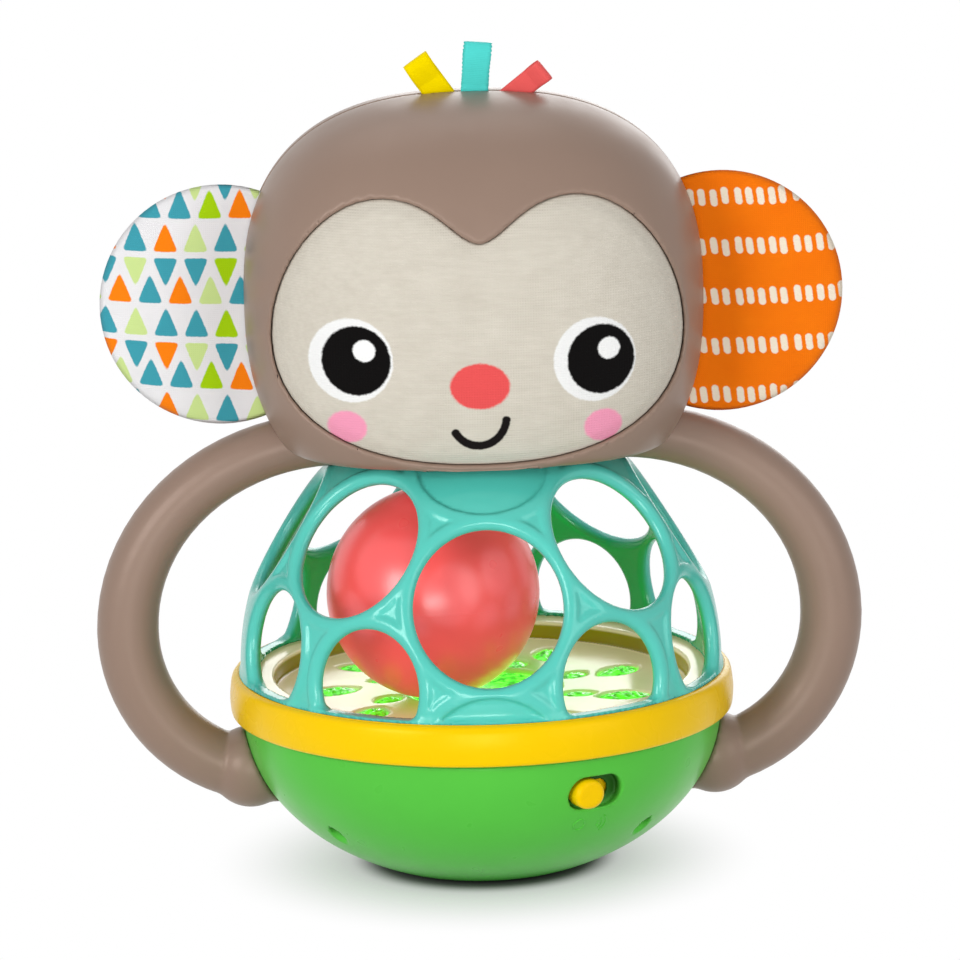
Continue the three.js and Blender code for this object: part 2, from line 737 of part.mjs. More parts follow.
function makeLens() {
  const high = trayFloorTop - trayThickness - gap;
  const plate = upright([0, 0], high - lensThickness, high, lensRadius, roundSteps);
  const low = high - lensThickness / 2;
  const window = upright([0, 0], low, trayFloorTop - gap, windowRadius, roundSteps);
  addPart('leaf_lens', 'lens', join(plate, window, ...leaves(0, low, trayFloorTop - gap)));
}

// Lattice cage and ball

function latticeForm(inset) {
  const form = new THREE.SphereGeometry(1, latticeSteps, latticeSteps / 2).rotateX(Math.PI / 2);
  const across = latticeRadius - inset;
  return solid(form.scale(across, across, latticeCurveHeight - inset).translate(0, 0, latticeCentre));
}

// A cone from the cage's centre that cuts one round opening
function holeCone([latitude, azimuth, angularRadius]) {
  const length = 1.4;               // in shares of the ellipsoid's half axes
  const rise = radians(latitude);
  const along = new THREE.Vector3(...polar(Math.cos(rise), azimuth), Math.sin(rise));
  const cone = new THREE.ConeGeometry(length * Math.tan(radians(angularRadius)), length, holeSteps);
  cone.translate(0, -length / 2, 0).rotateX(Math.PI);
  cone.applyQuaternion(new THREE.Quaternion().setFromUnitVectors(new THREE.Vector3(0, 1, 0), along));
  cone.scale(latticeRadius, latticeRadius, latticeCurveHeight).translate(0, 0, latticeCentre);
  return solid(cone);
}

// The quarter's openings, mirrored left to right and front to back
function allHoles() {
  const holes = [];
  for (const [latitude, azimuth, radius] of latticeHoles) {
    const mirrored = [azimuth, -azimuth, 180 - azimuth, azimuth - 180];
    const places = new Set(mirrored.map((angle) => (angle + 360) % 360));
    for (const place of places) holes.push([latitude, place, radius]);
  }
  return holes;
}

function makeLattice() {
  const footLow = trayFlangeTop + gap;
  const shell = cut(latticeForm(0), latticeForm(latticeWall), ...allHoles().map(holeCone));
  const band = shell.intersect(block([-reach, -reach, footLow], [reach, reach, latticeTop]));
  const footHigh = footLow + latticeFootThickness;
  const footInside = latticeRadius - latticeFootWidth;
  const footProfile = [
    [footInside, footLow], [latticeRadius, footLow], [latticeRadius, footHigh], [footInside, footHigh],
    [footInside, footLow],
  ];
  const flangeLow = latticeTop - latticeFlangeThickness;
  const flange = upright([0, 0], flangeLow, latticeTop, latticeRadius, roundSteps)
    .intersect(latticeForm(latticeFlangeInset));
  const bore = upright([0, 0], flangeLow - past, reach, latticeFlangeBore, fitSteps);
  const pegs = stakes(0, trayFlangeTop - trayThickness, footLow + latticeFootThickness / 2);
  const screwHoles = neckScrewAngles.map((angle) =>
    upright(polar(neckScrewCircle, angle), flangeLow - past, reach, threadHole(bodyScrew)));
  const whole = join(band, solid(turned(footProfile)), ...pegs, cut(flange, bore));
  addPart('lattice_cage', 'teal', cut(whole, ...screwHoles));
}

function makeBall() {
  const [x, y] = ballPlace;
  const height = trayFloorTop + gap + ballRadius;
  const arc = (radius, start, end, steps) => Array.from({ length: steps + 1 }, (unused, i) => {
    const angle = start + (end - start) * i / steps;
    return [radius * Math.cos(angle), radius * Math.sin(angle)];
  });
  const seam = gap / 2;
  const outer = arc(ballRadius, Math.asin(seam / ballRadius), Math.PI / 2, ballSteps);
  const hollow = ballRadius - ballWall;
  const inner = arc(hollow, Math.PI / 2, Math.asin(seam / hollow), ballInnerSteps);
  const half = turned([...outer, ...inner, outer[0]], fitSteps);
  addPart('ball_upper_half', 'coral', solid(half.clone().translate(x, y, height)));
  addPart('ball_lower_half', 'coral', solid(half.rotateX(Math.PI).translate(x, y, height)));
}

function makeNeck() {
  const high = latticeTop - latticeFlangeThickness - gap;
  const low = high - neckPlateThickness;
  const hollow = [latticeRadius - latticeWall, latticeCurveHeight - latticeWall];
  const inside = ellipseRadius(...hollow, high - latticeCentre);
  const plate = upright([0, 0], low, high, Math.min(neckPlateRadius, inside - gap), fitSteps);
  const holes = neckScrewAngles.map((angle) =>
    upright(polar(neckScrewCircle, angle), low - past, high + past, threadHole(bodyScrew)));
  addPart('neck_plate', 'white', cut(plate, ...holes));
  neckScrewAngles.forEach((angle, i) => {
    const seat = [...polar(neckScrewCircle, angle), low - gap];
    addPart(`neck_screw_${i + 1}`, 'steel', screwSolid(bodyScrew, seat, up));
  });
}

// Arms

class ArmPath extends THREE.Curve {
  constructor(side, endGap = 0) {
    super();
    this.side = side;
    this.endGap = endGap;
  }

  getPoint(t) {
    const angle = Math.PI * t;
    const upper = t < 0.5;
    const [endX, endZ] = upper ? [shoulder[0] - this.endGap, shoulder[1]] : wrist;
    const x = endX + (armReach - endX) * Math.sin(angle);
    const z = armWaist + (endZ - armWaist) * Math.abs(Math.cos(angle));
    return new THREE.Vector3(this.side * x, 0, z);
  }
}

// The first share of an arm's path, for the bore
class ArmStart extends THREE.Curve {
  constructor(side, share) {
    super();
    this.whole = new ArmPath(side, past);
    this.share = share;
  }

  getPoint(t) {
    return this.whole.getPoint(t * this.share);
  }
}

function shoulderCollar(side) {
  const radius = armRadius + shoulderPast;
  const ring = new THREE.CylinderGeometry(radius, radius, shoulderWidth, 2 * armSides).rotateZ(Math.PI / 2);
  ring.translate(side * (shoulder[0] + shoulderWidth / 2), 0, shoulder[1]);
  return solid(ring).intersect(above(headFloorTop + gap));
}

function handScrewSeat(side) {
  const inside = ellipseRadius(bowlRadius - bowlWall, bowlCurveHeight - bowlWall, handDrop);
  return [side * (inside - handScrewInset), 0, handHeight];
}

function handScrewHole(side) {
  const [x, y, z] = handScrewSeat(side);
  const length = smallScrew.length + 2 * pilotDepth;
  const radius = threadHole(smallScrew);
  const rod = new THREE.CylinderGeometry(radius, radius, length, smallSteps).rotateZ(Math.PI / 2);
  return solid(rod.translate(x + side * length / 2, y, z));
}

function handSolid(side) {
  const bulb = new THREE.SphereGeometry(handRadius, handSides, handRings);
  bulb.translate(side * handAcross, 0, handHeight);
  const stub = new THREE.CylinderGeometry(handRadius, handRadius, handStub, handSides).rotateZ(Math.PI / 2);
  stub.translate(side * (handAcross - handStub / 2), 0, handHeight);
  return join(solid(bulb), solid(stub));
}

function bowlKeepOut() {
  const across = bowlRadius + gap;
  const deep = bowlCurveHeight + gap;
  const lowest = rimHeight - deep;
  const curve = bowlCurve(across, deep, lowest, keepOutSteps).slice(1);
  return solid(turned([[0, lowest], ...curve, [0, rimHeight]]));
}

function makeArm(name, side) {
  const outside = tube(new ArmPath(side), armRadius, armSteps, armSides);
  const bore = tube(new ArmStart(side, boreShare), armBore, armSteps, armSides);
  const whole = join(outside, handSolid(side), shoulderCollar(side));
  const boss = handScrewHole(side);
  addPart(`arm_${name}`, 'brown', cut(whole, bore, bowlKeepOut(), latticeForm(-gap), boss));
  const outward = new THREE.Vector3(side, 0, 0);
  addPart(`hand_screw_${name}`, 'steel', screwSolid(smallScrew, handScrewSeat(side), outward));
}

// Head

function headOutline(angle, inset) {
  const across = Math.cos(angle) / (headHalfWidth - inset);
  const high = Math.sin(angle) >= 0;
  const upright = Math.sin(angle) / ((high ? headRise : headFall) - inset);
  const power = high ? crownPower : jawPower;
  return (Math.abs(across) ** power + Math.abs(upright) ** power) ** (-1 / power);
}

function headForm(inset) {
  const form = new THREE.SphereGeometry(1, headSteps, headSteps / 2);
  const points = form.attributes.position;
  for (let i = 0; i < points.count; i++) {
    const [x, y, z] = [points.getX(i), points.getY(i), points.getZ(i)];
    const angle = Math.atan2(z, x);
    const radius = Math.hypot(x, z) ** (2 / edgePower) * headOutline(angle, inset);
    const depth = Math.sign(y) * (headDepth - inset) * Math.abs(y) ** (2 / facePower);
    points.setXYZ(i, radius * Math.cos(angle), depth, headCentre + radius * Math.sin(angle));
  }
  return solid(form);
}

// Height of the head's top in the parting plane
function crownHeight(x) {
  return headCentre + headRise * (1 - Math.abs(x / headHalfWidth) ** crownPower) ** (1 / crownPower);
}

function heartOutline(offset) {
  const { notch: notchRun, notchLift, lobeIn, lobeOut, sideUp, sideDown, chin } = heartHandles;
  const notch = [0, headCentre + faceNotchRise + offset];
  const lobe = [faceLobe[0], headCentre + faceLobe[1] + offset];
  const side = [faceSide[0] + offset, headCentre + faceSide[1]];
  const low = [0, headBottom + faceMargin - offset];
  const rightHalf = [
    [notch, [notchRun, notch[1] + notchLift], [lobe[0] - lobeIn, lobe[1]], lobe],
    [lobe, [lobe[0] + lobeOut, lobe[1]], [side[0], side[1] + sideUp], side],
    [side, [side[0], side[1] - sideDown], [chin, low[1]], low],
  ];
  const shape = new THREE.Shape();
  shape.moveTo(...notch);
  for (const [, leave, arrive, end] of rightHalf) shape.bezierCurveTo(...leave, ...arrive, ...end);
  const mirror = ([x, z]) => [-x, z];
  for (const [start, leave, arrive] of rightHalf.reverse()) {
    shape.bezierCurveTo(...mirror(arrive), ...mirror(leave), ...mirror(start));
  }
  return shape;
}

// The heart-shaped part of the front between two depths under the head's surface
function heartLayer(offset, outerInset, innerInset) {
  const prism = slabAlongY(heartOutline(offset), -headDepth - past, -gap, heartSteps);
  return prism.intersect(headForm(outerInset)).subtract(headForm(innerInset));
}

function earSlot(side) {
  const [, z] = earPlace;
  const half = earTabThickness / 2 + gap;
  const [near, far] = [headHalfWidth - earTabReach - gap, headHalfWidth + earOffset];
  const xs = [side * near, side * far].sort((a, b) => a - b);
  const tall = earTabHeight / 2 + gap;
  return block([xs[0], -half, z - tall], [xs[1], half, z + tall]);
}

function ribbonSlot({ place, width }) {
  const half = ribbonRoot / 2 + gap;
  const wide = width / 2 + gap;
  const top = crownHeight(place);
  return block([place - wide, -half, top - ribbonTabDepth - gap], [place + wide, half, top + ribbonTabDepth]);
}

function armPassage(side) {
  return tube(new ArmPath(side, gap), armRadius + gap, armSteps, armSides);
}

function headOpenings() {
  return [...sides.map(earSlot), ...Object.values(ribbons).map(ribbonSlot), ...sides.map(armPassage)];
}

function neckBoss(angle) {
  const place = polar(neckScrewCircle, angle);
  const top = latticeTop - latticeFlangeThickness - neckPlateThickness + bodyScrew.length + pilotDepth;
  return {
    boss: upright(place, headBottom + headWall / 2, top + pilotDepth, postRadius),
    hole: upright(place, 0, top, threadHole(bodyScrew)),
  };
}

const pegBack = backingPegLength - headDepth;

function headHalf(front) {
  const half = front ? block([-reach, -reach, -reach], [reach, -gap / 2, reach])
    : block([-reach, gap / 2, -reach], [reach, reach, reach]);
  const hollow = headForm(headWall).intersect(above(headFloorTop));
  return cut(headForm(0).intersect(above(headBottom)), hollow).intersect(half);
}

function makeFrontShell() {
  const pocketBlock = heartLayer(pocketWall, 0, pocketDepth + headWall).intersect(above(headBottom));
  const pocket = heartLayer(0, -past, pocketDepth);
  const bossEnd = gap / 2;
  const bosses = headScrewPlaces.map((place) => frontToBack(place, -headDepth, -bossEnd, postRadius)
    .intersect(headForm(pocketDepth + headWall / 2)));
  const screwReach = headScrewSeat - bodyScrew.length - pilotDepth;
  const holes = headScrewPlaces.map((place) => frontToBack(place, screwReach, past, threadHole(bodyScrew)));
  const necks = neckScrewAngles.filter((angle) => Math.abs(angle) < 90).map(neckBoss);
  const pegHoles = backingPegPlaces.map((place) =>
    frontToBack(place, -headDepth, pegBack + pilotDepth, backingPegRadius + gap));
  const shell = join(headHalf(true), pocketBlock, ...bosses, ...necks.map((neck) => neck.boss));
  const neckHoles = necks.map((neck) => neck.hole);
  const screwHoles = [...holes, ...pegHoles, ...neckHoles];
  addPart('head_front_shell', 'brown', cut(shell, pocket, ...screwHoles, ...headOpenings()));
}

function makeRearShell() {
  const tunnels = headScrewPlaces.map((place) =>
    frontToBack(place, gap / 2, headDepth, tunnelRadius, middleSteps).intersect(headForm(0)));
  const sinks = headScrewPlaces.map((place) =>
    frontToBack(place, headScrewSeat, headDepth + past, bodyScrew.head + gap, middleSteps));
  const holes = headScrewPlaces.map((place) => frontToBack(place, -past, headDepth, threadHole(bodyScrew)));
  const necks = neckScrewAngles.filter((angle) => Math.abs(angle) >= 90).map(neckBoss);
  const shell = join(headHalf(false), ...tunnels, ...necks.map((neck) => neck.boss));
  const neckHoles = necks.map((neck) => neck.hole);
  addPart('head_rear_shell', 'brown', cut(shell, ...sinks, ...holes, ...neckHoles, ...headOpenings()));
  headScrewPlaces.forEach(([x, z], i) => {
    const seat = [x, headScrewSeat + gap, z];
    addPart(`head_screw_${i + 1}`, 'steel', screwSolid(bodyScrew, seat, new THREE.Vector3(0, -1, 0)));
  });
}

function makeFace() {
  const padBack = padRecess + padThickness;
  addPart('face_pad', 'faceCloth', heartLayer(-gap, padRecess, padBack));
  const plate = heartLayer(-2 * gap, padBack + gap, padBack + gap + backingThickness);
  const pegs = backingPegPlaces.map((place) => frontToBack(place, -headDepth, pegBack, backingPegRadius)
    .intersect(headForm(padBack + 2 * gap)));
  addPart('face_backing', 'white', join(plate, ...pegs));
}

// Ears and ribbons

function makeEar(name, side, cloth) {
  const [centreX, centreZ] = earPlace;
  const form = new THREE.SphereGeometry(1, earSides, earRings);
  const points = form.attributes.position;
  const root = headHalfWidth + earRootGap;
  for (let i = 0; i < points.count; i++) {
    const x = centreX + earRadius * points.getX(i);
    const filled = Math.min(1, Math.max(0, (x - root) / earRootRun)) ** earFillPower;
    const thickness = earRootThickness + (earThickness - earRootThickness) * filled;
    points.setXYZ(i, side * x, points.getY(i) * thickness / 2, centreZ + earRadius * points.getZ(i));
  }
  const xs = [side * root, side * reach].sort((a, b) => a - b);
  const pad = solid(form).intersect(block([xs[0], -reach, -reach], [xs[1], reach, reach]));
  addPart(`ear_${name}_pad`, cloth, pad);
  const tabEnds = [headHalfWidth - earTabReach, headHalfWidth + earTabProud];
  const tabXs = tabEnds.map((x) => side * x).sort((a, b) => a - b);
  const half = earTabThickness / 2;
  const low = [tabXs[0], -half, centreZ - earTabHeight / 2];
  const high = [tabXs[1], half, centreZ + earTabHeight / 2];
  addPart(`ear_${name}_tab`, cloth, block(low, high));
}

// One side of a ribbon loop, seen along its width, and back down the other side
function loopCurve(path, root, rootHeight, belly, length) {
  const swell = length * ribbonSwell;
  const crown = length - ribbonBelly / 2;
  path.moveTo(root, rootHeight);
  path.bezierCurveTo(root, swell, belly, swell, belly, crown);
  path.absarc(0, crown, belly, 0, Math.PI);
  path.bezierCurveTo(-belly, swell, -root, swell, -root, rootHeight);
  return path;
}

function ribbonLoopOutline(length) {
  const shape = loopCurve(new THREE.Shape(), ribbonRoot / 2, 0, ribbonBelly / 2, length);
  const inside = ribbonBelly / 2 - ribbonThickness;
  shape.holes.push(loopCurve(new THREE.Path(), ribbonRoot / 2 - ribbonThickness, ribbonSewn, inside, length));
  return shape;
}

function makeRibbon(name, finish, { place, lean, length, width }) {
  const loop = new THREE.ExtrudeGeometry(ribbonLoopOutline(length), {
    depth: width, bevelEnabled: false, curveSegments: ribbonSteps,
  });
  loop.translate(0, 0, -width / 2).rotateX(Math.PI / 2).rotateZ(Math.PI / 2);
  loop.rotateY(radians(lean));
  const rootHeight = crownHeight(place) + ribbonRootGap + width / 2 * Math.abs(Math.sin(radians(lean)));
  addPart(`ribbon_${name}_loop`, finish, solid(loop.translate(place, 0, rootHeight)));
  const half = ribbonRoot / 2;
  const top = crownHeight(place);
  addPart(`ribbon_${name}_tab`, finish, block([place - width / 2, -half, top - ribbonTabDepth],
    [place + width / 2, half, top]));
}

makeBowl();
makeBatteryDoor();
makeCells();
makeSwitch();
makeBoard();
makeLights();
makeSpeaker();
makeLeads();
makeCollar();
makeTray();
makeLens();
makeLattice();
makeBall();
makeNeck();
makeArm('right', 1);
makeArm('left', -1);
makeFrontShell();
makeRearShell();
makeFace();
makeEar('left', -1, 'earWhite');
makeEar('right', 1, 'earOrange');
makeRibbon('yellow', 'ribbonYellow', ribbons.yellow);
makeRibbon('teal', 'ribbonTeal', ribbons.teal);
makeRibbon('coral', 'ribbonCoral', ribbons.coral);

export default toy;
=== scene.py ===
"""Looks of a light-up infant rattle with an animal head, a lattice cage and a light bowl.

Shapes are worked out in millimetres, as distance fields or turned outlines, and become metres in a mesh.
Up is +Z, the face looks along -Y and the viewer's right is +X.
"""

import json
import math
from functools import partialmethod, reduce

import bmesh
import bpy
import numpy as np
from mathutils import Matrix, Vector


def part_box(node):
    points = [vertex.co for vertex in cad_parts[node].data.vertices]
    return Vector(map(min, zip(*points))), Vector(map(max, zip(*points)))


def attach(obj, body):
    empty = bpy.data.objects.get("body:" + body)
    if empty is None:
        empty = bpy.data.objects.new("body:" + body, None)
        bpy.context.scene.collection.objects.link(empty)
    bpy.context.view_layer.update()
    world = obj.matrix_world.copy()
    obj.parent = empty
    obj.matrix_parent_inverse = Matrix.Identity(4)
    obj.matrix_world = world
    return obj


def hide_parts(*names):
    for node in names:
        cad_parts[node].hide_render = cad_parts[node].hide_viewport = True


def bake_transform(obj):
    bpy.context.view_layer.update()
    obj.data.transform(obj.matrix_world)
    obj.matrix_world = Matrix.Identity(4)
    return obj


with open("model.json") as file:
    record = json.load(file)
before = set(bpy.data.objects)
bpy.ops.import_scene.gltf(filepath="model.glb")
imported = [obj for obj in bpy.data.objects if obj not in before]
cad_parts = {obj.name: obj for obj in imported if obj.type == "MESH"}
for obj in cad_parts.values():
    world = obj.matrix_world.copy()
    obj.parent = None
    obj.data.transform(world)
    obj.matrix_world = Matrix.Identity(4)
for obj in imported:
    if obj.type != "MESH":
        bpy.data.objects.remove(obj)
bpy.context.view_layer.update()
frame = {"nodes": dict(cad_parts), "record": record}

# Sizes in millimetres, unless a comment says otherwise
MM = 0.001
GAP = 0.3

BOWL_RADIUS = 52.0
BOWL_DEPTH = 36.8
BOWL_WALL = 2.2
BOWL_FLOOR = 2.6
BOWL_CUT_TOP = 9.0
RIM = 34.0
TUNNEL_CIRCLE = 43.0
TUNNEL_RADIUS = 1.9
TUNNEL_POST = 3.85
TUNNEL_TOP = 21.0
TUNNEL_CAP = 1.6
TUNNEL_TURNS = (49, 131, -131, -49)
DOOR_RADIUS = 14.17
DOOR_EAR = (0.0, -14.97)
DOOR_EAR_RADIUS = 3.0
DOOR_LOW, DOOR_HIGH = 0.3, 2.0
DOOR_SINK_RADIUS, DOOR_SINK_TOP = 1.9, 1.3
SOUND_CENTRE = 25.97
SOUND_CIRCLE = 4.6
SOUND_RADIUS = 1.1
SOUND_HOLES = 6

SWITCH_TURN = math.radians(25.7)
SWITCH_HEIGHT = 26.0
WELL_LENGTH, WELL_HEIGHT = 12.7, 7.5
WELL_FLOOR = 47.6
WELL_FLOOR_THICK, WELL_WALL = 0.9, 1.3
SLIT_LENGTH, SLIT_HEIGHT = 8.5, 3.9
SLIT_INSIDE = 40.0
KNOB_LENGTH, KNOB_HEIGHT = 7.0, 6.4
KNOB_OUT = 52.15
KNOB_SHIFT = -2.0
NECK_LENGTH, NECK_HEIGHT = 4.4, 3.4
NECK_LOW, NECK_HIGH = 45.4, 48.6
PLATE_LENGTH, PLATE_HEIGHT = 16.8, 8.0
PLATE_LOW, PLATE_HIGH = 45.4, 46.6
# The marks' places to the right of and above the switch's middle, their radii and half the arcs' sweep
OFF_MARK, OFF_RADIUS = (-2.4, -7.6), 1.3
SOUND_MARK, SOUND_ARCS, SOUND_SWEEP = (1.6, -8.0), (0.8, 1.7, 2.6), 0.85
MARK_RADIUS = 0.19
MARK_SIDES = 6

COLLAR_RADIUS = 55.0
COLLAR_INSIDE = 52.8
COLLAR_LOW, COLLAR_HIGH = 34.3, 43.2

TRAY_RADIUS = 52.5
TRAY_TOP = 42.5
TRAY_WELL = 45.2
TRAY_FLOOR = 38.5
TRAY_WALL = 1.8
WINDOW_RADIUS = 17.3
# Each ring of leaves: how many, on what circle, and their length and width
LEAF_RINGS = ((9, 32.5, 12.0, 6.5), (8, 22.3, 7.4, 4.2))
LEAF_TURN = 25.0
LENS_RADIUS = 39.0
LENS_LOW, LENS_HIGH = 34.9, 36.4
LENS_PROUD = 38.2

CAGE_CENTRE = np.array([0.0, 0.0, 44.0])
CAGE_RADII = np.array([52.4, 52.4, 56.7])
CAGE_WALL = 3.4
CAGE_LOW, CAGE_HIGH = 42.8, 92.6
CAGE_FOOT_HIGH = 43.6
CAGE_FOOT_INSIDE = 49.4

BALL_RADIUS = 23.0
BALL_CENTRE = np.array([-10.4, -8.0, 61.8])
BALL_WALL = 1.6

HEAD_WIDTH = 49.4
HEAD_DEPTH = 38.0
HEAD_CENTRE = 125.5
HEAD_RISE, HEAD_FALL = 44.1, 48.0
HEAD_LOW = 92.9
HEAD_WALL = 2.2
CROWN_POWER, JAW_POWER = 2.55, 2.5
EDGE_POWER, FACE_POWER = 2.6, 2.2
MEAN_RADIUS, MEAN_POWER = 42.0, 2.4
HEAD_SCREWS = ((27.0, 150.0), (-27.0, 150.0), (27.0, 108.0), (-27.0, 108.0))
HEAD_SCREW_SEAT = 12.0
HEAD_SCREW_POST, HEAD_SCREW_SINK, HEAD_SCREW_CAP = 4.2, 2.5, 1.6
POCKET_DEPTH = 4.8
PAD_SUNK = 0.35

# Distance of each ear's centre from the middle, and its radius
EARS = {"left": (54.3, 26.1), "right": (53.4, 26.3)}
EAR_HEIGHT = 124.7
EAR_THICK = 5.2
EAR_SWELL = 0.9
EAR_HIDDEN = 44.0
EAR_TAB_THICK = 1.1
# Between these distances from the middle an ear thickens, is held while it is filled, and bends
EAR_ROOT = (49.0, 63.0)
EAR_HELD = (66.0, 50.0)
EAR_SLOT_THICK, EAR_SLOT_TALL, EAR_SLOT_INSIDE = 1.6, 50.4, 42.0

# Each ribbon's place along the crown, lean in degrees, length and width
RIBBONS = {
    "yellow": (-8.3, -35.0, 5.8, 6.2),
    "teal": (1.2, 5.0, 9.5, 5.8),
    "coral": (13.3, 52.0, 3.7, 5.1),
}
RIBBON_RISE = 0.6
RIBBON_THICK = 0.3
RIBBON_BELLY = 1.9
RIBBON_SUNK = 2.5
RIBBON_SLOT_THICK, RIBBON_SLOT_GAP = 1.2, 0.2

ARM_RADII = (5.75, 6.7, 6.75)
ARM_SHOULDER = (31.2, 94.6)
ARM_WIDEST = (76.6, 53.2)
ARM_WRIST = (45.3, 21.0)
HAND = (50.8, 0.0, 22.2)
HAND_GAP = 0.05
HAND_RADIUS = 8.9

# The grid step of each kind of screw, its head's radius and height, its thread's radius, and its length
LARGE_SCREW = (0.22, 2.2, 1.6, 1.1, 14.6)
SMALL_SCREW = (0.2, 1.7, 1.2, 0.8, 10.2)

# Each lamp's place, width and height in metres, and its power in watts
LAMPS = {
    "key": ((-0.9, -0.98, 0.5), (0.55, 0.55), 7.7),
    "front": ((-0.05, -1.25, 0.12), (0.5, 0.23), 3.5),
    "fill": ((0.8, -0.8, 0.37), (0.7, 0.7), 2.7),
    "top": ((-0.1, 0.3, 0.9), (0.6, 0.4), 0.9),
    "back": ((0.3, 1.2, 0.5), (0.8, 0.8), 4.0),
}


# Distance fields: below zero inside, above zero outside

def blend_min(a, b, radius):
    """Two forms joined with a fillet."""
    share = np.clip(0.5 + 0.5 * (b - a) / radius, 0, 1)
    return b + (a - b) * share - radius * share * (1 - share)


def blend_max(a, b, radius):
    """What two forms have in common, with a rounded edge."""
    return -blend_min(-a, -b, radius)


def common(*fields):
    """What several forms have in common, with sharp edges."""
    return reduce(np.maximum, fields)


def between(value, low, high):
    """Distance to the slab between two limits."""
    return np.maximum(low - value, value - high)


def rise(low, high, value):
    """Goes smoothly from 0 at low to 1 at high."""
    t = np.clip((value - low) / (high - low), 0, 1)
    return t * t * (3 - 2 * t)


def unit(vectors):
    return vectors / np.linalg.norm(vectors, axis=-1, keepdims=True)


def ellipsoid(p, centre, radii):
    q = (p - np.array(centre)) / np.array(radii) + 1e-9
    near = np.linalg.norm(q, axis=1)
    steep = np.linalg.norm(q / np.array(radii), axis=1)
    return near * (near - 1) / steep


def from_upright(p, x, y):
    """Distance from an upright line."""
    return np.hypot(p[:, 0] - x, p[:, 1] - y)


def stadium(u, v, length, height):
    """Distance to a flat outline with round ends."""
    straight = (length - height) / 2
    return np.hypot(np.maximum(np.abs(u) - straight, 0), v) - height / 2


def from_path(p, path, radii):
    """Distance to a round bar along a path, as thick at each path point as its radius says."""
    best = np.full(len(p), 1e3)
    for start, end, first, last in zip(path, path[1:], radii, radii[1:]):
        along = end - start
        t = np.clip(((p - start) @ along) / (along @ along), 0, 1)
        away = np.linalg.norm(p - start - t[:, None] * along, axis=1)
        best = np.minimum(best, away - first - (last - first) * t)
    return best


class Outline:
    """Signed distance to a closed outline in X and Z, kept on a grid."""

    def __init__(self, points, step=0.4, margin=8.0):
        points = np.array(points)
        self.step = step
        self.low = points.min(0) - margin
        size = np.ceil((points.max(0) + margin - self.low) / step).astype(int) + 1
        x, z = np.meshgrid(*(self.low[k] + step * np.arange(size[k]) for k in (0, 1)), indexing="ij")
        away = np.full(x.shape, 1e3)
        inside = np.zeros(x.shape, bool)
        for (x0, z0), (x1, z1) in zip(points, np.roll(points, -1, 0)):
            run, lift = x1 - x0, z1 - z0
            t = np.clip(((x - x0) * run + (z - z0) * lift) / (run * run + lift * lift), 0, 1)
            away = np.minimum(away, np.hypot(x - x0 - t * run, z - z0 - t * lift))
            if lift:
                inside ^= ((z0 > z) != (z1 > z)) & (x < x0 + run * (z - z0) / lift)
        self.values = np.where(inside, -away, away)

    def __call__(self, x, z):
        u = np.clip((x - self.low[0]) / self.step, 0, self.values.shape[0] - 1.001)
        v = np.clip((z - self.low[1]) / self.step, 0, self.values.shape[1] - 1.001)
        i, j = u.astype(int), v.astype(int)
        a, b = u - i, v - j
        low = self.values[i, j] * (1 - a) + self.values[i + 1, j] * a
        high = self.values[i, j + 1] * (1 - a) + self.values[i + 1, j + 1] * a
        return low * (1 - b) + high * b


# Meshes

def drawn_onto(field, points, step):
    """Moves points along the field's slope until they lie on its surface."""
    tiny = step / 50
    for _ in range(3):
        ahead = [field(points + tiny * axis) for axis in np.eye(3)]
        behind = [field(points - tiny * axis) for axis in np.eye(3)]
        slope = (np.stack(ahead, 1) - np.stack(behind, 1)) / (2 * tiny)
        move = slope * (field(points) / np.maximum((slope ** 2).sum(1), 0.05))[:, None]
        reach = np.linalg.norm(move, axis=1, keepdims=True)
        points = points - move * np.minimum(1, step / 2 / np.maximum(reach, 1e-9))
    return points


def surface(field, low, high, step):
    """Points and quads of a field's surface, with one point in each grid cell that it crosses."""
    axes = [np.arange(a - 2 * step, b + 3 * step, step) for a, b in zip(low, high)]
    y, z = (side.ravel() for side in np.meshgrid(axes[1], axes[2], indexing="ij"))
    values = np.stack([field(np.column_stack([np.full_like(y, x), y, z])) for x in axes[0]])
    values = values.reshape([len(axis) for axis in axes])
    inside = values < 0
    cells = np.array(values.shape) - 1
    crossings, quads = [], []
    for axis in range(3):
        across, up = (axis + 1) % 3, (axis + 2) % 3
        start = np.argwhere(np.diff(inside, axis=axis))
        step_on = np.eye(3, dtype=int)[axis]
        a = values[tuple(start.T)]
        b = values[tuple((start + step_on).T)]
        ring = []
        for back_across, back_up in ((0, 0), (1, 0), (1, 1), (0, 1)):
            cell = start.copy()
            cell[:, across] -= back_across
            cell[:, up] -= back_up
            ring.append(np.ravel_multi_index(cell.T, cells))
        ring = np.stack(ring, 1)
        ring[a > 0] = ring[a > 0][:, ::-1]
        quads.append(ring)
        crossings.append(start + step_on * (a / (a - b))[:, None])
    corners = np.concatenate(quads)
    crossings = np.repeat(np.concatenate(crossings), 4, axis=0)
    faces = np.unique(corners, return_inverse=True)[1].reshape(-1)
    count = np.bincount(faces)
    points = np.stack([np.bincount(faces, crossings[:, k]) / count for k in range(3)], 1)
    points = points * step + [axis[0] for axis in axes]
    return drawn_onto(field, points, step), faces.reshape(-1, 4)


def rounded(corners, steps=5):
    """Outline points from (radius, height, edge radius) corners."""
    points = []
    spots = np.array([corner[:2] for corner in corners], float)
    for k, corner in enumerate(corners):
        here, edge = spots[k], corner[2]
        back = spots[k - 1] - here
        ahead = spots[(k + 1) % len(spots)] - here
        back, ahead = unit(back), unit(ahead)
        if not edge:
            points.append(here)
            continue
        for t in np.linspace(0, 1, steps):
            points.append(here + edge * (back * (1 - t) ** 2 + ahead * t ** 2))
    return np.array(points)


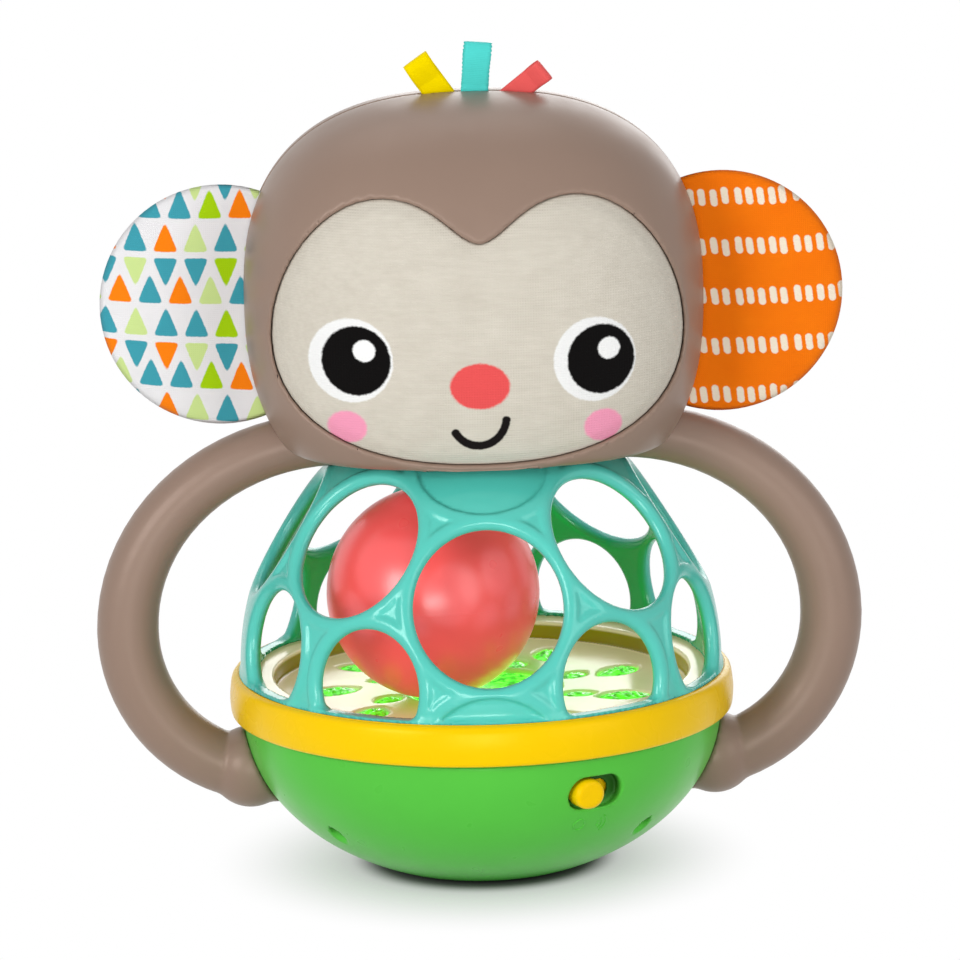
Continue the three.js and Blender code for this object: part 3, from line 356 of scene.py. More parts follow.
def grid_faces(rows, columns):
    """Quads over rows of points, each row closed into a ring."""
    row, column = (side.ravel() for side in np.indices((rows - 1, columns)))
    beside = (column + 1) % columns
    low, high = row * columns, (row + 1) * columns
    return np.stack([low + column, low + beside, high + beside, high + column], 1)


def turned(outline, sides=128):
    """Points and quads of a closed outline turned about the upright axis, with the first row doubled."""
    turn = np.linspace(0, 2 * math.pi, sides + 1)
    radius, height = outline.T
    points = [np.outer(np.cos(turn), radius), np.outer(np.sin(turn), radius), np.tile(height, (sides + 1, 1))]
    return np.stack(points, 2).reshape(-1, 3), grid_faces(sides + 1, len(outline))


def tidied(obj):
    """Joins doubled points and turns every face outward."""
    mesh = bmesh.new()
    mesh.from_mesh(obj.data)
    bmesh.ops.remove_doubles(mesh, verts=mesh.verts, dist=1e-6)
    bmesh.ops.recalc_face_normals(mesh, faces=mesh.faces)
    mesh.to_mesh(obj.data)
    mesh.free()
    return obj


def new_mesh(name, points, faces, look):
    mesh = bpy.data.meshes.new(name)
    mesh.from_pydata((points * MM).tolist(), [], faces.tolist())
    mesh.polygons.foreach_set("use_smooth", [True] * len(mesh.polygons))
    mesh.materials.append(look.material)
    return mesh


def linked(name, data):
    """A new object in the scene."""
    obj = bpy.data.objects.new(name, data)
    bpy.context.scene.collection.objects.link(obj)
    return obj


def placed(name, mesh, slot, *nodes):
    """An object for a mesh, which stands for these CAD nodes."""
    obj = linked(name, mesh)
    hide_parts(*nodes)
    return obj


def moulded(name, field, low, high, step, look, slot, body="base"):
    """A piece made from a distance field, which stands for the CAD node of its name."""
    obj = placed(f"{name}_form", new_mesh(name, *surface(field, low, high, step), look), slot, name)
    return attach(obj, body)


# Materials

def colour(red, green, blue):
    """Linear colour from screen values up to 255."""
    parts = [part / 255 for part in (red, green, blue)]
    return (*(c / 12.92 if c <= 0.04045 else ((c + 0.055) / 1.055) ** 2.4 for c in parts), 1.0)


def toned(shade, share):
    """The same colour, so many times as bright."""
    return (*(min(1.0, c * share) for c in shade[:3]), 1.0)


def put(tree, socket, value):
    """Gives a socket a number that varies, another socket's output or a plain value."""
    if isinstance(value, Number):
        value = value.socket
    if isinstance(value, bpy.types.NodeSocket):
        tree.links.new(value, socket)
    else:
        socket.default_value = value


def new_node(tree, kind, inputs, output=0, **settings):
    """The output of a new shader node with these inputs and settings."""
    node = tree.nodes.new(f"ShaderNode{kind}")
    for name, value in settings.items():
        setattr(node, name, value)
    for place, value in inputs.items():
        put(tree, node.inputs[place], value)
    return node.outputs[output]


class Number:
    """A number that varies over a surface, with ordinary arithmetic."""

    def __init__(self, tree, socket):
        self.tree = tree
        self.socket = socket

    def math(self, operation, *others):
        inputs = dict(enumerate((self, *others)))
        return Number(self.tree, new_node(self.tree, "Math", inputs, operation=operation))

    __add__ = partialmethod(math, "ADD")
    __sub__ = partialmethod(math, "SUBTRACT")
    __mul__ = partialmethod(math, "MULTIPLY")
    __truediv__ = partialmethod(math, "DIVIDE")
    __neg__ = partialmethod(math, "MULTIPLY", -1)
    __abs__ = partialmethod(math, "ABSOLUTE")
    most = partialmethod(math, "MAXIMUM")
    least = partialmethod(math, "MINIMUM")
    soft_most = partialmethod(math, "SMOOTH_MAX")
    round = partialmethod(math, "ROUND")
    floor = partialmethod(math, "FLOOR")
    wrap = partialmethod(math, "FLOORED_MODULO")
    sine = partialmethod(math, "SINE")

    def hypot(self, other):
        return (self * self + other * other).math("SQRT")

    def ramp(self, low, high, start=0.0, end=1.0):
        """Goes smoothly from start where the number is low to end where it is high."""
        inputs = {"Value": self, "From Min": low, "From Max": high, "To Min": start, "To Max": end}
        return Number(self.tree, new_node(self.tree, "MapRange", inputs, interpolation_type="SMOOTHSTEP"))

    def inside(self, soft):
        """1 where the number is below zero, fading over twice the softness."""
        return self.ramp(-soft, soft, 1.0, 0.0)


class Look:
    """A material round one Principled shader. Its x, y and z are in millimetres."""

    def __init__(self, name, **values):
        self.material = bpy.data.materials.new(name)
        self.material.use_nodes = True
        self.tree = self.material.node_tree
        self.shader = self.tree.nodes["Principled BSDF"]
        self.place = self.node("TexCoord", {}, "Object")
        self.x, self.y, self.z = (self.number("SeparateXYZ", {0: self.place}, k) * 1000 for k in range(3))
        self.set(**values)

    def node(self, *description, **settings):
        return new_node(self.tree, *description, **settings)

    def number(self, *description, **settings):
        return Number(self.tree, self.node(*description, **settings))

    def set(self, **values):
        for name, value in values.items():
            put(self.tree, self.shader.inputs[name.replace("_", " ")], value)

    def noise(self, size, detail=2.0, drawn_out=1.0):
        """Cloudy variation from 0 to 1, with spots of about this size in millimetres, drawn out along X."""
        squeezed = self.node("VectorMath", {0: self.place, 1: (1 / drawn_out, 1, 1)}, operation="MULTIPLY")
        return self.number("TexNoise", {"Vector": squeezed, "Scale": 1000 / size, "Detail": detail})

    def chance(self, number):
        """A fixed random value from 0 to 1 for each whole number."""
        return self.number("TexWhiteNoise", {"W": number}, noise_dimensions="1D")

    def mix(self, share, first, second):
        """The first colour where the share is 0, the second where it is 1."""
        return self.node("Mix", {0: share, 6: first, 7: second}, 2, data_type="RGBA")

    def choice(self, number, colours):
        """The colour whose place in the list the whole number gives, counted round and round."""
        count = len(colours)
        shade = self.node("ValToRGB", {0: (number.wrap(count) + 0.5) / count})
        stops = shade.node.color_ramp
        stops.interpolation = "CONSTANT"
        for k, wanted in enumerate(colours):
            stop = stops.elements[k] if k < 2 else stops.elements.new(k / count)
            stop.position = k / count
            stop.color = wanted
        return shade

    def bump(self, height, depth):
        """Raises the surface by the height, counted in depths of so many millimetres."""
        self.set(Normal=self.node("Bump", {"Strength": 1.0, "Distance": depth * MM, "Height": height}))


def plastic(name, shade, roughness=0.3, drift=0.05, grain=0.012, gloss=0.32, pale=0.4, **values):
    """Moulded plastic, slightly cloudy in tone and gloss, with a fine grain and tinted highlights."""
    tint = (*(pale + (1 - pale) * c / max(shade[:3]) for c in shade[:3]), 1.0)
    look = Look(name, IOR=1.49, Specular_IOR_Level=gloss, Specular_Tint=tint, **values)
    look.shade = look.mix(look.noise(14, 3), toned(shade, 1 - drift), toned(shade, 1 + drift))
    look.set(Base_Color=look.shade)
    look.set(Roughness=look.noise(6, 1).ramp(0.2, 0.8, roughness - 0.03, roughness + 0.03))
    look.bump(look.noise(2.4, 1), grain)
    return look


def metal(name, shade, roughness=0.3):
    """Plated metal with fine scratches and cloudy wear."""
    look = Look(name, Metallic=1.0)
    look.set(Base_Color=look.mix(look.noise(2.5, 4), toned(shade, 0.75), shade))
    look.set(Roughness=look.noise(1.2, 4).ramp(0.3, 0.7, roughness - 0.08, roughness + 0.12))
    look.bump(look.noise(0.3, 3), 0.02)
    return look


BROWN = colour(145, 122, 108)
GREEN = colour(88, 198, 68)
YELLOW = colour(255, 206, 2)
TEAL = colour(84, 203, 188)
CORAL = colour(252, 88, 88)


def depth_below(look, centre_height, radius, rise_radius):
    """How many millimetres a point lies inside a form of revolution with these radii."""
    level = (look.x.hypot(look.y) / radius).hypot((look.z - centre_height) / rise_radius)
    return (-level + 1.0) * radius


def bowl_look():
    """Green plastic, with painted shade darkening it down in the switch's well and in the screw tunnels."""
    look = plastic("green_bowl", GREEN, 0.3)
    # Painted shade: the colour goes dark green with depth below the bowl's outside, down in the well and
    # tunnels.
    deep = depth_below(look, RIM, BOWL_RADIUS, BOWL_DEPTH).ramp(0.5, 2.6) * look.z.ramp(2.0, 5.0)
    look.set(Base_Color=look.mix(deep, look.shade, colour(34, 88, 18)))
    return look


def cage_look():
    """Satin teal plastic, with painted green light from below on its inner side."""
    look = plastic("teal_lattice", TEAL, 0.22, gloss=0.6, pale=0.75)
    # Painted light: the inner side takes a green tint as if lit by the glow below.
    inner = depth_below(look, CAGE_CENTRE[2], CAGE_RADII[0], CAGE_RADII[2]).ramp(1.9, 3.1)
    look.set(Base_Color=look.mix(inner, look.shade, colour(32, 178, 104)))
    return look


def ball_look():
    """Satin coral plastic with a faint painted glow, which lightens it where the cage shades it."""
    look = plastic("coral_ball", CORAL, roughness=0.3, grain=0.001, gloss=0.9, pale=0.95)
    # Painted glow: a faint coral emission lightens the ball where the cage shades it.
    look.set(Emission_Color=CORAL, Emission_Strength=0.14)
    return look


def tray_look():
    """Cream plastic with painted green light and a painted glow round its window, in place of the toy's light
    below, and the well's wall showing the yellow ring behind it, darkened to olive by painted shade.
    """
    look = plastic("cream_tray", colour(246, 238, 214), roughness=0.2, pale=0.9)
    away = look.x.hypot(look.y)
    below_rim = look.z.ramp(TRAY_TOP - 1.0, TRAY_TOP - 0.4, 1.0, 0.0)
    wall = away.ramp(TRAY_WELL - 0.5, TRAY_WELL - 0.1) * below_rim
    # Painted light: this share fades out from the window and paints a green tint and glow there.
    painted_light_share = away.ramp(WINDOW_RADIUS + 2.0, TRAY_WELL - 6.0, 1.0, 0.0)
    cloudy = look.mix(look.noise(9, 3), colour(230, 221, 176), colour(243, 236, 200))
    cloudy = look.mix(painted_light_share * 0.55, cloudy, colour(168, 228, 110))
    # Painted shade: the well's wall is coloured dark olive yellow.
    look.set(Base_Color=look.mix(wall, cloudy, colour(168, 160, 24)))
    # Painted glow: a faint warm emission on the floor, greener near the window, none on the wall.
    painted_glow = look.mix(painted_light_share, colour(250, 240, 180), colour(130, 232, 70))
    look.set(Emission_Color=look.mix(wall, painted_glow, (0, 0, 0, 1)), Emission_Strength=painted_light_share * 0.16 + 0.15)
    return look


def lens_look():
    """Clear green plastic with a painted glow, most in its middle, in place of the toy's light below."""
    look = plastic("green_lens", colour(84, 224, 30), roughness=0.14, drift=0.2, gloss=0.5, Coat_Weight=0.5)
    # Painted glow: cloudy green emission, strongest over the centre window.
    middle = look.x.hypot(look.y).ramp(WINDOW_RADIUS - 2.0, WINDOW_RADIUS, 2.6, 1.0)
    painted_glow = look.noise(1.6, 2).ramp(0.35, 0.65, 0.2, 1.3) * middle
    look.set(Emission_Color=colour(80, 225, 40), Emission_Strength=painted_glow)
    return look


def threads(number, pitch):
    """A wave that repeats at each thread."""
    return (number * (2 * math.pi / pitch)).sine()


def cloth(name, pitch, depth, **values):
    """Fabric of fine threads up and across, with a soft sheen."""
    look = Look(name, Sheen_Roughness=0.5, **values)
    fuzz = look.noise(0.25, 2)
    look.bump(threads(look.x, pitch) * 0.3 + threads(look.z, pitch) * 0.5 + fuzz * 0.6, depth)
    return look


def face_look():
    """Cream knit with printed eyes, nose, cheeks and mouth."""
    look = cloth("face_knit", 0.55, 0.04, Roughness=0.9, Specular_IOR_Level=0.08, Sheen_Weight=0.03)
    x, z = look.x, look.z
    fuzz = (look.noise(0.7, 3) - 0.5) * 0.5

    def oval(centre_x, centre_z, half_x, half_z, tilt=0.0):
        u, v = x - centre_x, z - centre_z
        turn = math.radians(tilt)
        a = (u * math.cos(turn) + v * math.sin(turn)) / half_x
        b = (v * math.cos(turn) - u * math.sin(turn)) / half_z
        return (a.hypot(b) - 1) * min(half_x, half_z) + fuzz

    streaks = look.noise(6, 3) * 0.45 + look.noise(0.9, 2, drawn_out=7) * 0.55
    shade = look.mix(streaks, colour(197, 189, 175), colour(223, 217, 204))
    for centre, low, tilt in ((-28.4, 103.1, -8), (25.6, 102.2, 8)):
        shade = look.mix(oval(centre, low, 4.1, 3.7, tilt).inside(0.35), shade, colour(246, 158, 188))
    for white, pupil, low in ((-27.4, -26.3, 117.9), (23.9, 25.2, 117.0)):
        shade = look.mix(oval(white, low, 8.8, 9.1).inside(0.25), shade, colour(241, 241, 240))
        shade = look.mix(oval(pupil, low, 7.2, 7.5).inside(0.25), shade, colour(10, 8, 8))
        shade = look.mix(oval(pupil + 1.7, low + 2.25, 2.35, 2.35).inside(0.25), shade, colour(246, 246, 245))
    shade = look.mix(oval(-0.5, 112.3, 6.3, 5.0).inside(0.3), shade, colour(233, 86, 86))
    bow = (((x + 0.8) / 5.8).hypot((z - 105.5) / 6.5) - 1) * 6.1
    lean = z - 104.5 - x * 0.25
    stroke = (abs(bow) - 0.9 + fuzz * 0.5).most(lean + 1.0)
    for end_x, end_z in ((-5.73, 102.08), (4.96, 104.72)):
        stroke = stroke.least((x - end_x).hypot(z - end_z) - 0.9 + fuzz * 0.5)
    shade = look.mix(stroke.inside(0.2), shade, colour(22, 17, 17))
    look.set(Base_Color=shade)
    return look


def triangle_ear_look():
    """White cotton printed with rows of rounded triangles in four colours."""
    look = cloth("triangle_cotton", 0.42, 0.03, Roughness=0.8, Specular_IOR_Level=0.12, Sheen_Weight=0.05)
    teal, orange = colour(62, 157, 173), colour(252, 130, 6)
    pale, lime = colour(204, 226, 146), colour(167, 211, 6)
    order = (orange, teal, orange, pale, teal, pale, teal, teal, lime)
    column_width, row_height = 6.47, 18.32
    tall, half = 7.0, 2.75
    slant, fan = 0.0646, 0.0015
    x = look.x - look.z * 0.0175 + 74.78
    down = -look.z + 143.47 - (look.x + 64.3) * ((-look.z + EAR_HEIGHT) * fan + slant)
    period = (down / row_height).floor()
    odd = period.wrap(2)
    t = down.wrap(row_height)
    shade = look.mix(look.noise(8, 2), colour(229, 228, 230), colour(237, 235, 236))
    for shift, along, first in (
        (0.0, t + 0.4, odd * 4 + 1),
        (0.0, -t + 14.95, odd * -4 + 5),
        (0.52, t - 10.8, odd * 5),
    ):
        u = x / column_width + shift
        column = u.round()
        middle = (u - column) * column_width
        side = middle.hypot(0.45) - along * (half / tall)
        edge = (side * 0.93).soft_most(along - tall, 1.5) + (look.noise(0.6) - 0.5) * 0.2
        shade = look.mix(edge.inside(0.12), shade, look.choice(column + first, order))
    look.set(Base_Color=shade)
    return look


def dash_ear_look():
    """Orange cotton printed with rows of cream dashes."""
    look = cloth("dash_cotton", 0.42, 0.03, Roughness=0.8, Specular_IOR_Level=0.1, Sheen_Weight=0.03)
    row_height, column_width = 10.8, 2.5
    height = look.z - look.x * 0.02 - 122.6
    row = (height / row_height).round()
    up = height - row * row_height
    u = (look.x - 52.0) / column_width
    column = u.round()
    jitter = (look.chance(column + 31) - 0.5) * 0.7
    side = (u - column) * column_width + jitter + up * 0.12
    lift = (look.chance(column * 3 + row * 5 + 7) - 0.5) * 0.6
    dash = side.hypot((abs(up + lift) - 1.08).most(0.0)) - 0.76 + (look.noise(0.6) - 0.5) * 0.25
    orange = look.mix(look.noise(9, 2), colour(246, 114, 2), colour(252, 127, 6))
    look.set(Base_Color=look.mix(dash.inside(0.14), orange, colour(246, 232, 211)))
    return look


def ribbon_look(name, shade, lean):
    """Satin ribbon with fine cross threads."""
    look = Look(name, Roughness=0.42, Specular_IOR_Level=0.25, Specular_Tint=shade)
    look.set(Sheen_Weight=0.05, Sheen_Roughness=0.4)
    turn = math.radians(lean)
    along = threads(look.x * math.sin(turn) + look.z * math.cos(turn), 0.4)
    across = threads(look.x * math.cos(turn) - look.z * math.sin(turn), 0.3)
    cloudy = along.ramp(-1, 1) * 0.3 + look.noise(2.5, 2) * 0.7
    look.set(Base_Color=look.mix(cloudy, toned(shade, 0.9), shade))
    look.bump(along + across * 0.3, 0.008)
    return look


# Bowl, battery door and switch

def switch_place(p):
    """Along the switch's travel, up, and outward from the bowl's axis."""
    along = p[:, 0] * math.cos(SWITCH_TURN) + p[:, 1] * math.sin(SWITCH_TURN)
    outward = p[:, 0] * math.sin(SWITCH_TURN) - p[:, 1] * math.cos(SWITCH_TURN)
    return along, p[:, 2] - SWITCH_HEIGHT, outward


def bowl_outside(p, inset=0.0):
    radius = BOWL_RADIUS - inset
    return ellipsoid(p, (0, 0, RIM), (radius, radius, BOWL_DEPTH - inset))


def around(circle, turn):
    """X and Y on a circle, with the turn in degrees counted from the front towards the right."""
    angle = math.radians(turn)
    return circle * math.sin(angle), -circle * math.cos(angle)


def door_outline(p):
    ear = from_upright(p, *DOOR_EAR) - DOOR_EAR_RADIUS
    return blend_min(from_upright(p, 0, 0) - DOOR_RADIUS, ear, 1.0)


def bowl_field(p):
    z = p[:, 2]
    along, up, outward = switch_place(p)
    well = stadium(along, up, WELL_LENGTH, WELL_HEIGHT)
    slit = stadium(along, up, SLIT_LENGTH, SLIT_HEIGHT)
    outside = bowl_outside(p)
    shell = np.maximum(outside, -np.maximum(bowl_outside(p, BOWL_WALL), BOWL_FLOOR - z))
    for turn in TUNNEL_TURNS:
        away = from_upright(p, *around(TUNNEL_CIRCLE, turn))
        post = common(away - TUNNEL_POST, z - TUNNEL_TOP - TUNNEL_CAP, outside)
        shell = blend_max(np.minimum(shell, post), -np.maximum(away - TUNNEL_RADIUS, z - TUNNEL_TOP), 0.4)
    cup = common(well - WELL_WALL, WELL_FLOOR - WELL_FLOOR_THICK - outward, outside)
    shell = blend_max(np.minimum(shell, cup), -np.maximum(well, WELL_FLOOR - outward), 0.5)
    shell = np.maximum(shell, -np.maximum(slit, SLIT_INSIDE - outward))
    shell = blend_max(shell, -np.maximum(door_outline(p) - GAP, z - BOWL_CUT_TOP), 0.4)
    for k in range(SOUND_HOLES):
        x, y = around(SOUND_CIRCLE, 360 * k / SOUND_HOLES)
        away = from_upright(p, x, y + SOUND_CENTRE)
        shell = blend_max(shell, -np.maximum(away - SOUND_RADIUS, z - BOWL_CUT_TOP), 0.4)
    shell = blend_max(shell, -z, 1.2)
    return blend_max(shell, z - RIM, 0.6)


def door_field(p):
    """Flat cover with a rounded outer edge and a sunk screw."""
    z = p[:, 2]
    cover = np.maximum(blend_max(door_outline(p), DOOR_LOW - z, 0.6), z - DOOR_HIGH)
    away = from_upright(p, *DOOR_EAR)
    return blend_max(cover, -np.maximum(away - DOOR_SINK_RADIUS, z - DOOR_SINK_TOP), 0.2)


def knob_field(p):
    """Oval button with a rounded edge, on a neck from a slide plate behind the bowl's wall."""
    along, up, outward = switch_place(p)
    along = along - KNOB_SHIFT
    button = blend_max(stadium(along, up, KNOB_LENGTH, KNOB_HEIGHT), outward - KNOB_OUT, 1.3)
    button = np.maximum(button, WELL_FLOOR + GAP - outward)
    neck = np.maximum(stadium(along, up, NECK_LENGTH, NECK_HEIGHT), between(outward, NECK_LOW, NECK_HIGH))
    sides = np.maximum(np.abs(along) - PLATE_LENGTH / 2, np.abs(up) - PLATE_HEIGHT / 2)
    plate = np.maximum(sides, between(outward, PLATE_LOW, PLATE_HIGH))
    return np.minimum(np.minimum(button, neck), plate)


def make_bowl(looks):
    green = looks["green"]
    wide = BOWL_RADIUS + 0.5
    moulded("bowl", bowl_field, (-wide, -wide, 0), (wide, wide, RIM), 0.5, looks["bowl"], "green_plastic")
    door_low = (-DOOR_RADIUS, DOOR_EAR[1] - DOOR_EAR_RADIUS, DOOR_LOW)
    door_high = (DOOR_RADIUS, DOOR_RADIUS, DOOR_HIGH)
    moulded("battery_door", door_field, door_low, door_high, 0.4, green, "green_plastic")
    low, high = (np.array(corner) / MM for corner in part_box("switch_knob"))
    moulded("switch_knob", knob_field, low - 1, high + 1, 0.4, looks["yellow"], "yellow_plastic", "switch")
    make_marks(green)


def on_bowl(u, v):
    """The point on the bowl's outside that lies u to the right and v above the switch's middle."""
    height = SWITCH_HEIGHT + v
    radius = BOWL_RADIUS * math.sqrt(1 - ((RIM - height) / BOWL_DEPTH) ** 2)
    outward = math.sqrt(radius ** 2 - u ** 2)
    side, front = math.cos(SWITCH_TURN), math.sin(SWITCH_TURN)
    return (u * side + outward * front, u * front - outward * side, height)


def make_marks(look):
    """Two small raised marks under the switch: a ring for off, and three arcs for sound."""
    marks = [(OFF_MARK, OFF_RADIUS, np.linspace(0, 2 * math.pi, 25))]
    marks += [(SOUND_MARK, radius, np.linspace(-SOUND_SWEEP, SOUND_SWEEP, 9)) for radius in SOUND_ARCS]
    turn = np.arange(MARK_SIDES) * 2 * math.pi / MARK_SIDES
    points, faces = np.empty((0, 3)), []
    for (u, v), radius, sweep in marks:
        path = np.array([on_bowl(u + radius * math.cos(a), v + radius * math.sin(a)) for a in sweep])
        outward = unit(path * (1, 1, 0))
        beside = np.cross(unit(np.gradient(path, axis=0)), outward)
        spoke = np.cos(turn)[:, None] * beside[:, None] + np.sin(turn)[:, None] * outward[:, None]
        start = len(points)
        points = np.concatenate([points, (path[:, None] + MARK_RADIUS * spoke).reshape(-1, 3)])
        faces.append(start + grid_faces(len(path), MARK_SIDES))
        for ring in (start, len(points) - MARK_SIDES):
            faces.append(ring + np.array([(0, 1, 2, 5), (2, 3, 4, 5)]))
    mesh = new_mesh("bowl_marks", points, np.concatenate(faces), look)
    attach(tidied(placed("bowl_marks", mesh, "green_plastic")), "base")


# Collar ring, light tray and lens

def make_collar(look):
    outline = rounded([
        (COLLAR_INSIDE, COLLAR_LOW, 0.4),
        (COLLAR_RADIUS - 0.5, COLLAR_LOW, 0.9),
        (COLLAR_RADIUS, COLLAR_LOW + 3.5, 2.0),
        (COLLAR_RADIUS - 0.7, COLLAR_HIGH, 1.7),
        (COLLAR_INSIDE, COLLAR_HIGH, 0.3),
    ])
    mesh = new_mesh("collar_ring", *turned(outline, 160), look)
    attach(tidied(placed("collar_ring_form", mesh, "yellow_plastic", "collar_ring")), "base")


def leaf_edge(p, grow):
    """Distance to the nearest leaf outline, with how far along and across its leaf a point lies."""
    best = np.full(len(p), 1e3)
    along, across = np.zeros(len(p)), np.zeros(len(p))
    for count, circle, length, width in LEAF_RINGS:
        bend = (length ** 2 + width ** 2) / (4 * width)
        for k in range(count):
            turn = 2 * math.pi * (k + 0.5) / count
            aim = turn + math.radians(LEAF_TURN)
            x = p[:, 0] - circle * math.cos(turn)
            y = p[:, 1] - circle * math.sin(turn)
            s = x * math.cos(aim) + y * math.sin(aim)
            t = y * math.cos(aim) - x * math.sin(aim)
            edge = np.hypot(s, np.abs(t) + bend - width / 2) - bend - grow
            nearer = edge < best
            best = np.where(nearer, edge, best)
            along = np.where(nearer, s, along)
            across = np.where(nearer, t, across)
    return best, along, across


def tray_field(p):
    away, z = from_upright(p, 0, 0), p[:, 2]
    floor_low = TRAY_FLOOR - TRAY_WALL
    flange = np.maximum(between(away, TRAY_WELL, TRAY_RADIUS), between(z, TRAY_TOP - TRAY_WALL, TRAY_TOP))
    wall = np.maximum(between(away, TRAY_WELL, TRAY_WELL + TRAY_WALL), between(z, floor_low, TRAY_TOP))
    floor = np.maximum(away - TRAY_WELL - 0.5, between(z, floor_low, TRAY_FLOOR))
    floor = blend_max(floor, WINDOW_RADIUS - away, 0.6)
    floor = blend_max(floor, -leaf_edge(p, 0.4)[0], 0.5)
    return blend_min(np.minimum(flange, wall), floor, 0.8)


def lens_field(p):
    """Plate with a domed centre window and domed leaves that stand up through the tray."""
    away, z = from_upright(p, 0, 0), p[:, 2]
    plate = np.maximum(away - LENS_RADIUS, between(z, LENS_LOW, LENS_HIGH))
    centre = blend_max(away - WINDOW_RADIUS + GAP, z - LENS_PROUD + 0.4, 0.8)
    edge, along, across = leaf_edge(p, 0.0)
    spine = np.exp(-(across / 0.28) ** 2)
    barbs = np.maximum(np.sin((along - np.abs(across) * 0.9) * 3.2), 0)
    top = LENS_PROUD + 0.8 * rise(0.0, -2.4, edge) - 0.5 * spine - 0.3 * barbs * rise(-0.4, -1.4, edge)
    leaves = blend_max(edge, z - top, 0.4)
    raised = np.maximum(np.minimum(centre, leaves), LENS_LOW - z)
    return np.minimum(plate, raised)


def make_tray(looks):
    reach = TRAY_RADIUS
    low, high = (-reach, -reach, TRAY_FLOOR - TRAY_WALL), (reach, reach, TRAY_TOP)
    moulded("light_tray", tray_field, low, high, 0.6, looks["tray"], "cream_plastic")
    low, high = (-LENS_RADIUS, -LENS_RADIUS, LENS_LOW), (LENS_RADIUS, LENS_RADIUS, LENS_PROUD + 1.0)
    moulded("leaf_lens", lens_field, low, high, 0.45, looks["lens"], "green_lens")


# Lattice cage and ball

def cage_directions(holes):
    lat, turn, radius = np.radians(np.array(holes)).T
    return np.stack([np.cos(lat) * np.sin(turn), -np.cos(lat) * np.cos(turn), np.sin(lat)]), radius


CAGE_HOLES = cage_directions(
    [(25.0, turn, 18.2) for turn in (0, 180)]
    + [(37.5, turn, 17.2) for turn in (43.8, -43.8, 136.2, -136.2)]
    + [(5.3, turn, 13.5) for turn in (31, -31, 149, -149)]
    + [(10, turn, 13.2) for turn in (65, -65, 115, -115)]
    + [(34, turn, 15.5) for turn in (90, -90)]
)
CAGE_TABS = cage_directions(
    [(61.7, turn, 15.5) for turn in (0, 180)] + [(-12.4, turn, 17.3) for turn in (0, 90, 180, 270)]
)


def from_holes(p, holes):
    """Distance from the edge of the nearest of these round holes, below zero inside it."""
    directions, radius = holes
    angle = np.arccos(np.clip(unit((p - CAGE_CENTRE) / CAGE_RADII) @ directions, -1, 1))
    return (angle - radius).min(1) * CAGE_RADII[0]


def cage_ribs(p, outside):
    """Rounded ribs between the holes, webs and round tabs sunk in front and behind, and a foot ring."""
    hole, tab = from_holes(p, CAGE_HOLES), from_holes(p, CAGE_TABS)
    sunk = 0.6 * rise(2.3, 3.4, np.minimum(hole, tab)) + 1.1 * rise(0.2, -0.6, tab)
    sunk = sunk * rise(50, 43, np.abs(p[:, 0]))
    ribs = blend_max(np.maximum(outside + sunk, -outside - CAGE_WALL), -hole, 2.2)
    away, z = from_upright(p, 0, 0), p[:, 2]
    foot = np.maximum(between(away, CAGE_FOOT_INSIDE, CAGE_RADII[0]), z - CAGE_FOOT_HIGH)
    return blend_min(ribs, foot, 1.4)


def cage_field(p):
    outside = ellipsoid(p, CAGE_CENTRE, CAGE_RADII)
    field = between(outside, -CAGE_WALL, 0)
    near = np.abs(outside) < 9
    if near.any():
        field[near] = cage_ribs(p[near], outside[near])
    return np.maximum(field, between(p[:, 2], CAGE_LOW, CAGE_HIGH))


def make_cage(look):
    reach = CAGE_RADII[0]
    low, high = (-reach, -reach, CAGE_LOW), (reach, reach, CAGE_HIGH)
    moulded("lattice_cage", cage_field, low, high, 0.65, look, "teal_plastic")


def make_ball(look):
    """Two hollow halves that meet at the middle."""
    for name, side in (("ball_upper_half", 1), ("ball_lower_half", -1)):
        lift = np.linspace(0, math.pi / 2, 40)
        outer = np.column_stack([BALL_RADIUS * np.cos(lift), BALL_RADIUS * np.sin(lift)])
        inner = outer[::-1] * (1 - BALL_WALL / BALL_RADIUS)
        outline = np.concatenate([outer, inner]) * (1, side)
        outline[:, 1] += 0.006 * side
        points, faces = turned(outline)
        mesh = new_mesh(name, points + BALL_CENTRE, faces, look)
        half = tidied(placed(f"{name}_form", mesh, "coral_plastic", name))
        half.data.set_sharp_from_angle(angle=math.radians(40))
        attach(half, "ball")


# Arms

def arm_path():
    """From the shoulder round the widest point to the wrist, as two quarters of ellipses."""
    turn = np.linspace(0, math.pi / 2, 20)
    wide, middle = ARM_WIDEST
    upper, lower = (
        np.column_stack([x + (wide - x) * np.sin(turn), 0 * turn, middle + (z - middle) * np.cos(turn)])
        for x, z in (ARM_SHOULDER, ARM_WRIST)
    )
    return np.concatenate([upper, lower[-2::-1]])


ARM_PATH = arm_path()
ARM_THICKNESS = np.interp(np.linspace(0, 2, len(ARM_PATH)), (0, 1, 2), ARM_RADII)


def arm_field(p):
    """The right arm, with its hand resting on the bowl. The left one is its mirror image."""
    p = np.column_stack([np.abs(p[:, 0]), p[:, 1], p[:, 2]])
    tube = from_path(p, ARM_PATH, ARM_THICKNESS)
    hand = np.linalg.norm(p - HAND, axis=1) - HAND_RADIUS
    arm = blend_min(tube, hand, 0.5)
    return blend_max(arm, HAND_GAP - bowl_outside(p), 0.3)


def make_arms(look):
    top = ARM_SHOULDER[1] + ARM_RADII[0] + 1
    for name, low, high in (("arm_right", 24.0, 84.0), ("arm_left", -84.0, -24.0)):
        moulded(name, arm_field, (low, -9, 12), (high, 9, top), 0.75, look, "brown_plastic")


# Head and face

def bezier(*spots, steps=14):
    """Points of a curve from the first of four spots to the last, without the last."""
    t = np.linspace(0, 1, steps, endpoint=False)[:, None]
    start, start_pull, end_pull, end = np.array(spots, float)
    pulled = 3 * start_pull * t * (1 - t) ** 2 + 3 * end_pull * t * t * (1 - t)
    return start * (1 - t) ** 3 + pulled + end * t ** 3


